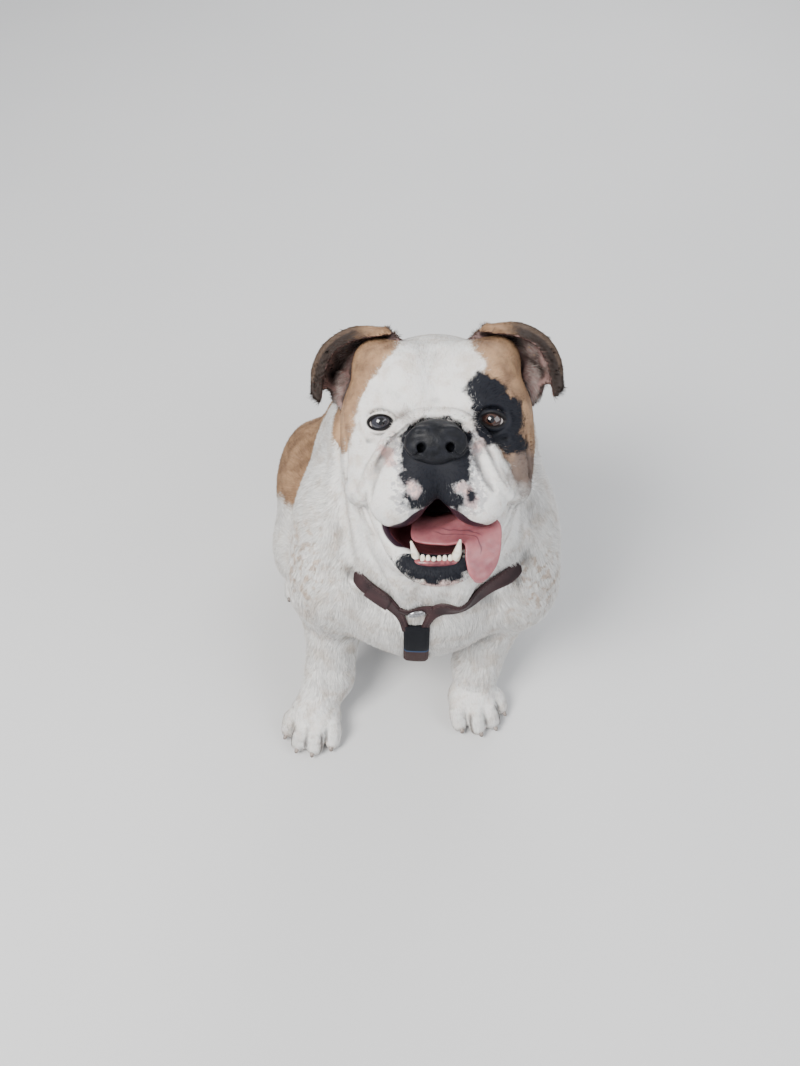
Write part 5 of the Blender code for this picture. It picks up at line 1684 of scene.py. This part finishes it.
girth_angles = np.linspace(0, 360, 150, endpoint=False)
girth_sunk = step_up(girth_angles, 114, 130) * (1 - step_up(girth_angles, 170, 186))
breast_line = plane_line(FRONT, BREAST_CENTRE, (1, 0, 0), np.linspace(-66, -1, 60))
breast_length = np.linalg.norm(np.diff(breast_line, axis=0), axis=1).sum()
BLUE_LINE = breast_length - 0.046
leather, webbing = leather_material(), webbing_material()
straps = [
    ("neck_leather", strap_mesh("neck", FRONT, neck_line, neck_widths, sunk=neck_sunk), leather, "strap",
     ["neck_strap"]),
    ("neck_overlap", strap_mesh("overlap", FRONT, patch_line, STRAP_WIDTH + 0.0012, False, 0.0050, 0.0022),
     leather, "strap", []),
    ("girth_leather", strap_mesh("girth", BARREL, plane_line(BARREL, GIRTH_CENTRE, GIRTH_NORMAL,
     girth_angles), STRAP_WIDTH, True, sunk=girth_sunk), leather, "strap", ["girth_strap"]),
    ("breast_yoke", strap_mesh("yoke", FRONT, yoke_line, 0.0110), leather, "strap", []),
    ("back_leather", strap_mesh("back", BARREL, plane_line(BARREL, BACK_CENTRE, (1, 0, 0),
     np.linspace(109, 123, 36)), STRAP_WIDTH, top=0.0031), leather, "strap", ["back_strap"]),
    ("breast_webbing", strap_mesh("breast", FRONT, breast_line, BREAST_WIDTH, top=0.0044), webbing,
     "dark_strap", ["breast_strap"]),
]
for name, mesh, material, slot, replaced in straps:
    mesh.materials.append(material)
    place_piece(name, mesh, slot, *replaced)
    print(name, len(mesh.polygons), "faces")

# %% Rings
RING_RADIUS, RING_WIRE, RING_LIFT = 0.0085, 0.0016, 0.0046


def ring_parts(near, masses, wide, high, bar):
    """A wire bent to an oval, round in section, with a bar across it if asked for."""
    place = on_flesh(masses, near[None], 8)[0]
    out = outward(masses, place[None])[0]
    across = unit(np.array([1.0, 0, 0]) - out[0] * out)
    down = np.cross(out, across)
    turn = np.linspace(0, 2 * pi, 56, endpoint=False)[:, None]
    line = place + RING_LIFT * out + np.cos(turn) * wide * across + np.sin(turn) * high * down
    side = unit(np.cross(along(line, True), out))
    angle = np.linspace(0, 2 * pi, 12, endpoint=False)
    ring = np.broadcast_to(RING_WIRE * np.stack([np.cos(angle), np.sin(angle)], 1), (56, 12, 2))
    parts = [sweep(line, side, np.repeat(out[None], 56, 0), ring, closed=True)]
    if bar:
        ends = place + (RING_LIFT + 0.0006) * out + np.outer((-1, 0, 1), wide * across)
        parts.append(horn(ends, [0.0019, 0.0015, 0.0019], per_span=4))
    return parts


def metal_material():
    finish = Finish("metal", Metallic=1.0)
    tone = finish.mix(finish.noise(0.003, 3.0).over(0.4, 0.75), (0.46, 0.46, 0.48), (0.24, 0.235, 0.23))
    return finish.use(Base_Color=tone, Roughness=0.16 + finish.noise(0.0015, 3.0) * 0.2)


metal = metal_material()
for name, near, masses, wide, high, bar, replaced in (
    ("breast_ring", CHEST_RING, FRONT, 0.0080, 0.0040, True, "chest_ring"),
    ("lead_ring", BACK_RING, BARREL, RING_RADIUS, RING_RADIUS, False, "back_ring"),
):
    mesh = closed_mesh(name, *gathered(ring_parts(near, masses, wide, high, bar)))
    mesh.materials.append(metal)
    place_piece(name, mesh, "ring", replaced)

# %% [markdown]
# The coat is short and lies flat, so most of it is the skin's bump. Over it go small thin
# tufts, closed shards of four faces, each rooted in the skin and leaning along the lie of
# the coat: back from the nose, out along the ears, down the chest and legs, and towards the
# tail. They are shortest on the face and feet, and stand a little where they meet a strap.

# %% How the coat grows
FACE_TUFTS, BODY_TUFTS, FOOT_TUFTS, EAR_TUFTS = 1.05e6, 3.6e5, 7.5e5, 9.0e5
NOSE_TIP = face(0, -0.030, 0.050)


def strap_gap(points, size=4096):
    """The distance from each point to the nearest strap's edge, below nought under it."""
    lines = np.vstack(strap_lines)
    gaps = []
    for start in range(0, len(points), size):
        away = ((points[start:start + size, None] - lines[None, :, :3]) ** 2).sum(2)
        gaps.append((np.sqrt(away) - lines[:, 3]).min(1))
    return np.concatenate(gaps)


def regions(points):
    """How far each place belongs to the head and to the feet."""
    head = step_up((points - NECK_CENTRE) @ NECK_NORMAL, -0.002, 0.035)
    feet = 1 - step_up(points[:, 2], 0.035, 0.10)
    feet = feet * (1 - step_up(points[:, 1], 0.12, 0.20))
    return head, feet


def lie(points, ear):
    """The way the hair points at each place, before it is laid along the skin."""
    head, feet = regions(points)
    x, y, z = points.T
    back = step_up(y, -0.12, 0.02)[:, None]
    sideways = np.clip(x + 0.01, -0.1, 0.1)
    front = np.stack([sideways * 3.0, -0.10 + 0 * y, -1.0 + 0 * z], 1)
    rear = np.stack([np.clip(x - RUMP_X, -0.1, 0.1) * 1.5, 0.85 + 0 * y, -0.62 + 0 * z], 1)
    body = front * (1 - back) + rear * back
    leg = np.stack([0 * x, 0.10 + 0 * y, -1.0 + 0 * z], 1)
    foot = np.stack([0 * x, -0.9 + 0 * y, -0.45 + 0 * z], 1)
    low = (1 - step_up(z, 0.09, 0.16))[:, None]
    body = body * (1 - low) + leg * low
    toes = (1 - step_up(z, 0.030, 0.055))[:, None] * (1 - step_up(y, 0.10, 0.16))[:, None]
    body = body * (1 - toes) + foot * toes
    from_nose = unit(points - NOSE_TIP) - 0.35 * HEAD[2] - 0.15 * np.array([0, 0, 1.0])
    way = body * (1 - head[:, None]) + unit(from_nose) * head[:, None]
    roots = np.stack([face(0.046, 0.080, -0.060), face(-0.046, 0.080, -0.060)])
    nearer = roots[(in_face(points)[:, 0] < 0).astype(int)]
    way = np.where(ear[:, None] > 0.5, unit(points - nearer) + 0.5 * HEAD[2], way)
    swirl = 0.30 * np.stack([waves(points, 0.05, 20 + i) for i in range(3)], 1)
    return unit(way) + swirl


def tufts_on(mesh, marks, seed):
    """Roots spread evenly over the skin by area and by how dense the coat is there, and
    for each root its skin normal, its distance to a strap's edge and the skin's marks there."""
    draw = np.random.default_rng(seed)
    points, normals, triangles = points_of(mesh), normals_of(mesh), triangles_of(mesh)
    a, b, c = (points[triangles[:, i]] for i in range(3))
    areas = np.linalg.norm(np.cross(b - a, c - a), axis=1) / 2
    head, feet = regions(points)
    dense = BODY_TUFTS + (FACE_TUFTS - BODY_TUFTS) * head
    dense = np.maximum(dense, FOOT_TUFTS * feet)
    dense = np.where(marks["ear"] > 0.5, EAR_TUFTS, dense)
    dense = dense * (1 - 0.45 * marks["cup"])
    gap = strap_gap(points)
    bare = (marks["mouth"] > 0.30) | (marks["rim"] > 0.42) | (gap < -0.0006) | (points[:, 2] < 0.003)
    bare |= nose_field(points) < 0.0008
    dense[bare] = 0
    weight = areas * dense[triangles].min(1)
    total = np.cumsum(weight)
    count = int(total[-1])
    chosen = np.searchsorted(total, (np.arange(count) + draw.random(count)) * total[-1] / count)
    chosen = np.minimum(chosen, len(triangles) - 1)
    u, v = draw.random((2, count))
    over = u + v > 1
    u[over], v[over] = 1 - u[over], 1 - v[over]
    shares = np.stack([1 - u - v, u, v], 1)
    corners = triangles[chosen]

    def blended(values):
        values = np.asarray(values)
        if values.ndim == 1:
            return (values[corners] * shares).sum(1)
        return (values[corners] * shares[..., None]).sum(1)

    roots, out = blended(points), unit(blended(normals))
    return {"root": roots, "out": out, "gap": blended(gap), "furrow": blended(marks["furrow"]),
            "ear": blended(marks["ear"]), "cup": blended(marks["cup"]), "ear_rim": blended(marks["ear_rim"]),
            "ear_out": blended(marks["ear_out"]), "draw": draw}


# %% The coat as shards
def shards(tufts):
    """Four corners of each tuft: left, right and ridge at the root, and the tip."""
    roots, out, draw = tufts["root"], tufts["out"], tufts["draw"]
    count = len(roots)
    head, feet = regions(roots)
    left, crown, ahead = in_face(roots).T
    fine = head * step_up(ahead, -0.07, 0.0)
    length = 0.0115 - 0.0050 * head - 0.0022 * fine
    length = length + (0.0048 - length) * feet
    length = np.where(tufts["ear"] > 0.5, 0.0048 + 0.0035 * tufts["cup"], length)
    length *= draw.uniform(0.75, 1.25, count)
    edge = np.exp(-((tufts["gap"] - 0.003) / 0.006) ** 2) * (tufts["gap"] < 0.02)
    length *= 1 - 0.35 * edge
    rise = 0.13 + 0.05 * (1 - head) + 0.22 * edge + 0.12 * tufts["furrow"] + draw.normal(0, 0.05, count)
    rise = np.clip(rise, 0.05, 0.7)
    width = (0.00105 - 0.00045 * head - 0.00012 * fine) * (1 - 0.3 * feet) * draw.uniform(0.8, 1.2, count)
    way = lie(roots, tufts["ear"]) + draw.normal(0, 0.13, (count, 3))
    way = unit(way - (way * out).sum(1, keepdims=True) * out)
    side = np.cross(out, way)
    base = roots - out * 0.0006
    reach = length[:, None] * (np.cos(rise)[:, None] * way + np.sin(rise)[:, None] * out)
    half = width[:, None] / 2
    ridge = base + out * (0.0004 + 0.3 * width[:, None])
    corners = np.stack([base + half * side, base - half * side, ridge, base + reach], 1)
    low, high = np.array(cad_box) - SHIFT
    corners = np.clip(corners, np.maximum(low, (-9, -9, 0.0005)), high)
    tilt = draw.normal(0, 0.34, (count, 1)) * side + draw.normal(0, 0.16, (count, 1)) * way
    shade = unit(out + tilt)
    normals = np.stack([unit(shade + 0.35 * side), unit(shade - 0.35 * side), shade, unit(shade + 0.15 * way)], 1)
    return corners, normals


SHARD = np.array([[2, 3, 0], [1, 3, 2], [0, 3, 1], [1, 2, 0]])
PATCH = 0.003 * np.array([[-0.5, -0.4], [0.5, -0.4], [0.0, 0.0], [0.0, 0.5]])


def unwrapped(roots, out):
    """Places of the roots on an unwrap of the skin: six flat charts, one for each way that
    the skin can face, side by side in three columns and two rows."""
    axis = np.abs(out).argmax(1)
    facing = (np.take_along_axis(out, axis[:, None], 1)[:, 0] > 0).astype(int)
    low, high = roots.min(0), roots.max(0)
    scaled = (roots - low) / (high - low).max()
    u = np.choose(axis, [scaled[:, 1], scaled[:, 0], scaled[:, 0]])
    v = np.choose(axis, [scaled[:, 2], scaled[:, 2], scaled[:, 1]])
    return np.stack([(axis + 0.02 + 0.96 * u) / 3, (facing + 0.02 + 0.96 * v) / 2], 1)


def coat_piece(name, tufts, chosen, corners, normals, marks):
    """One piece of the coat from the chosen tufts, with its marks, normals and UV map."""
    count = len(chosen)
    mesh = bpy.data.meshes.new(name)
    mesh.vertices.add(count * 4)
    mesh.vertices.foreach_set("co", (corners[chosen] + SHIFT).reshape(-1))
    faces = (SHARD[None] + 4 * np.arange(count)[:, None, None]).reshape(-1, 3)
    mesh.loops.add(faces.size)
    mesh.loops.foreach_set("vertex_index", faces.ravel())
    mesh.polygons.add(len(faces))
    mesh.polygons.foreach_set("loop_start", np.arange(len(faces)) * 3)
    mesh.update(calc_edges=True)
    mesh.shade_smooth()
    mark_points(mesh, **{mark: np.repeat(values[chosen], 4) for mark, values in marks.items()})
    mark_points(mesh, tipness=np.tile([0.0, 0.0, 0.15, 1.0], count))
    places = unwrapped(tufts["root"][chosen], tufts["out"][chosen])
    uv = (places[:, None] + PATCH[None])[:, SHARD.ravel()]
    layer = mesh.uv_layers.new(name="OFBake")
    layer.uv.foreach_set("vector", np.ascontiguousarray(uv, np.float32).ravel())
    mesh.normals_split_custom_set_from_vertices(normals[chosen].reshape(-1, 3).tolist())
    return mesh


def coat_material():
    finish = Finish("coat", Specular_IOR_Level=0.07)
    colour, fine, coarse = coat_colour(finish, (finish.mark("tint") - 0.5) * 0.6)
    fur = finish.mix((coarse + finish.mark("ear_rim") * 0.5).over(0.40, 0.75), CUP_FUR, CUP_DARK)
    colour = finish.mix(finish.mark("cup").over(0.3, 0.7), colour, fur)
    # Each tuft's brightness: a random tint of its own, its tip a little lighter, and painted shade where it grows in a
    # furrow of the skin.
    shade = (0.74 + finish.mark("tint") * 0.30 + finish.mark("tipness") * 0.06) * (1 - finish.mark("furrow") * 0.55)
    return finish.use(Base_Color=finish.scaled(colour, shade), Roughness=0.58 + fine * 0.2)


tufts = tufts_on(skin_mesh, skin_marks, 7)
corners, shard_normals = shards(tufts)
roots = tufts["root"]
coat_marks = markings(roots)
coat_marks.update({name: tufts[name] for name in ("furrow", "ear", "cup", "ear_rim", "ear_out")})
coat_marks["tint"] = tufts["draw"].random(len(roots))
on_head, on_feet = regions(roots)
face_places = in_face(roots)
to_left, high_up = face_places[:, 0] > 0, face_places[:, 1] > -0.045
COAT_NAMES = ["ears", "brow_left", "brow_right", "jowl_left", "jowl_right", "forefoot_left", "forefoot_right",
              "hind_feet", "breast_left", "breast_right", "flank_left", "flank_right", "rump_left", "rump_right"]
is_head, is_foot, x, y = on_head > 0.45, on_feet > 0.25, roots[:, 0], roots[:, 1]
label = np.select(
    [tufts["ear"] > 0.5, is_head & to_left & high_up, is_head & high_up, is_head & to_left, is_head,
     is_foot & (y < 0) & (x > -0.03), is_foot & (y < 0), is_foot, (y < 0) & (x > -0.008), y < 0,
     (y < 0.15) & (x > -0.02), y < 0.15, x > RUMP_X],
    range(13), 13,
)
coat_finish = coat_material()
shards_in_all = 0
for number, part_name in enumerate(COAT_NAMES):
    chosen = np.flatnonzero(label == number)
    mesh = coat_piece("coat_" + part_name, tufts, chosen, corners, shard_normals, coat_marks)
    mesh.materials.append(coat_finish)
    place_piece("coat_" + part_name, mesh, "coat")
    shards_in_all += len(mesh.polygons)
    print("coat_" + part_name, len(mesh.polygons), "faces")
print("the coat has", shards_in_all, "faces")

# %% [markdown]
# The floor is plain and pale, a flat sheet that reaches far round the dog.

# %% The floor
def floor_mesh():
    """A flat sheet: rows of places from near the camera to far behind the dog."""
    steps = np.linspace(-4, 4, 9)
    places = np.stack(np.meshgrid(steps, steps, [0.0], indexing="ij"), -1).reshape(-1, 3)
    return mesh_from("floor", places - SHIFT, grid_faces(9, 9).tolist())


floor = bpy.data.objects.new("floor", floor_mesh())
bpy.context.scene.collection.objects.link(floor)
floor_finish = Finish("floor", Roughness=0.85)
tone = floor_finish.mix(floor_finish.noise(0.5, 2.0), (0.66, 0.665, 0.67), (0.72, 0.72, 0.72))
floor.data.materials.append(floor_finish.use(Base_Color=tone))
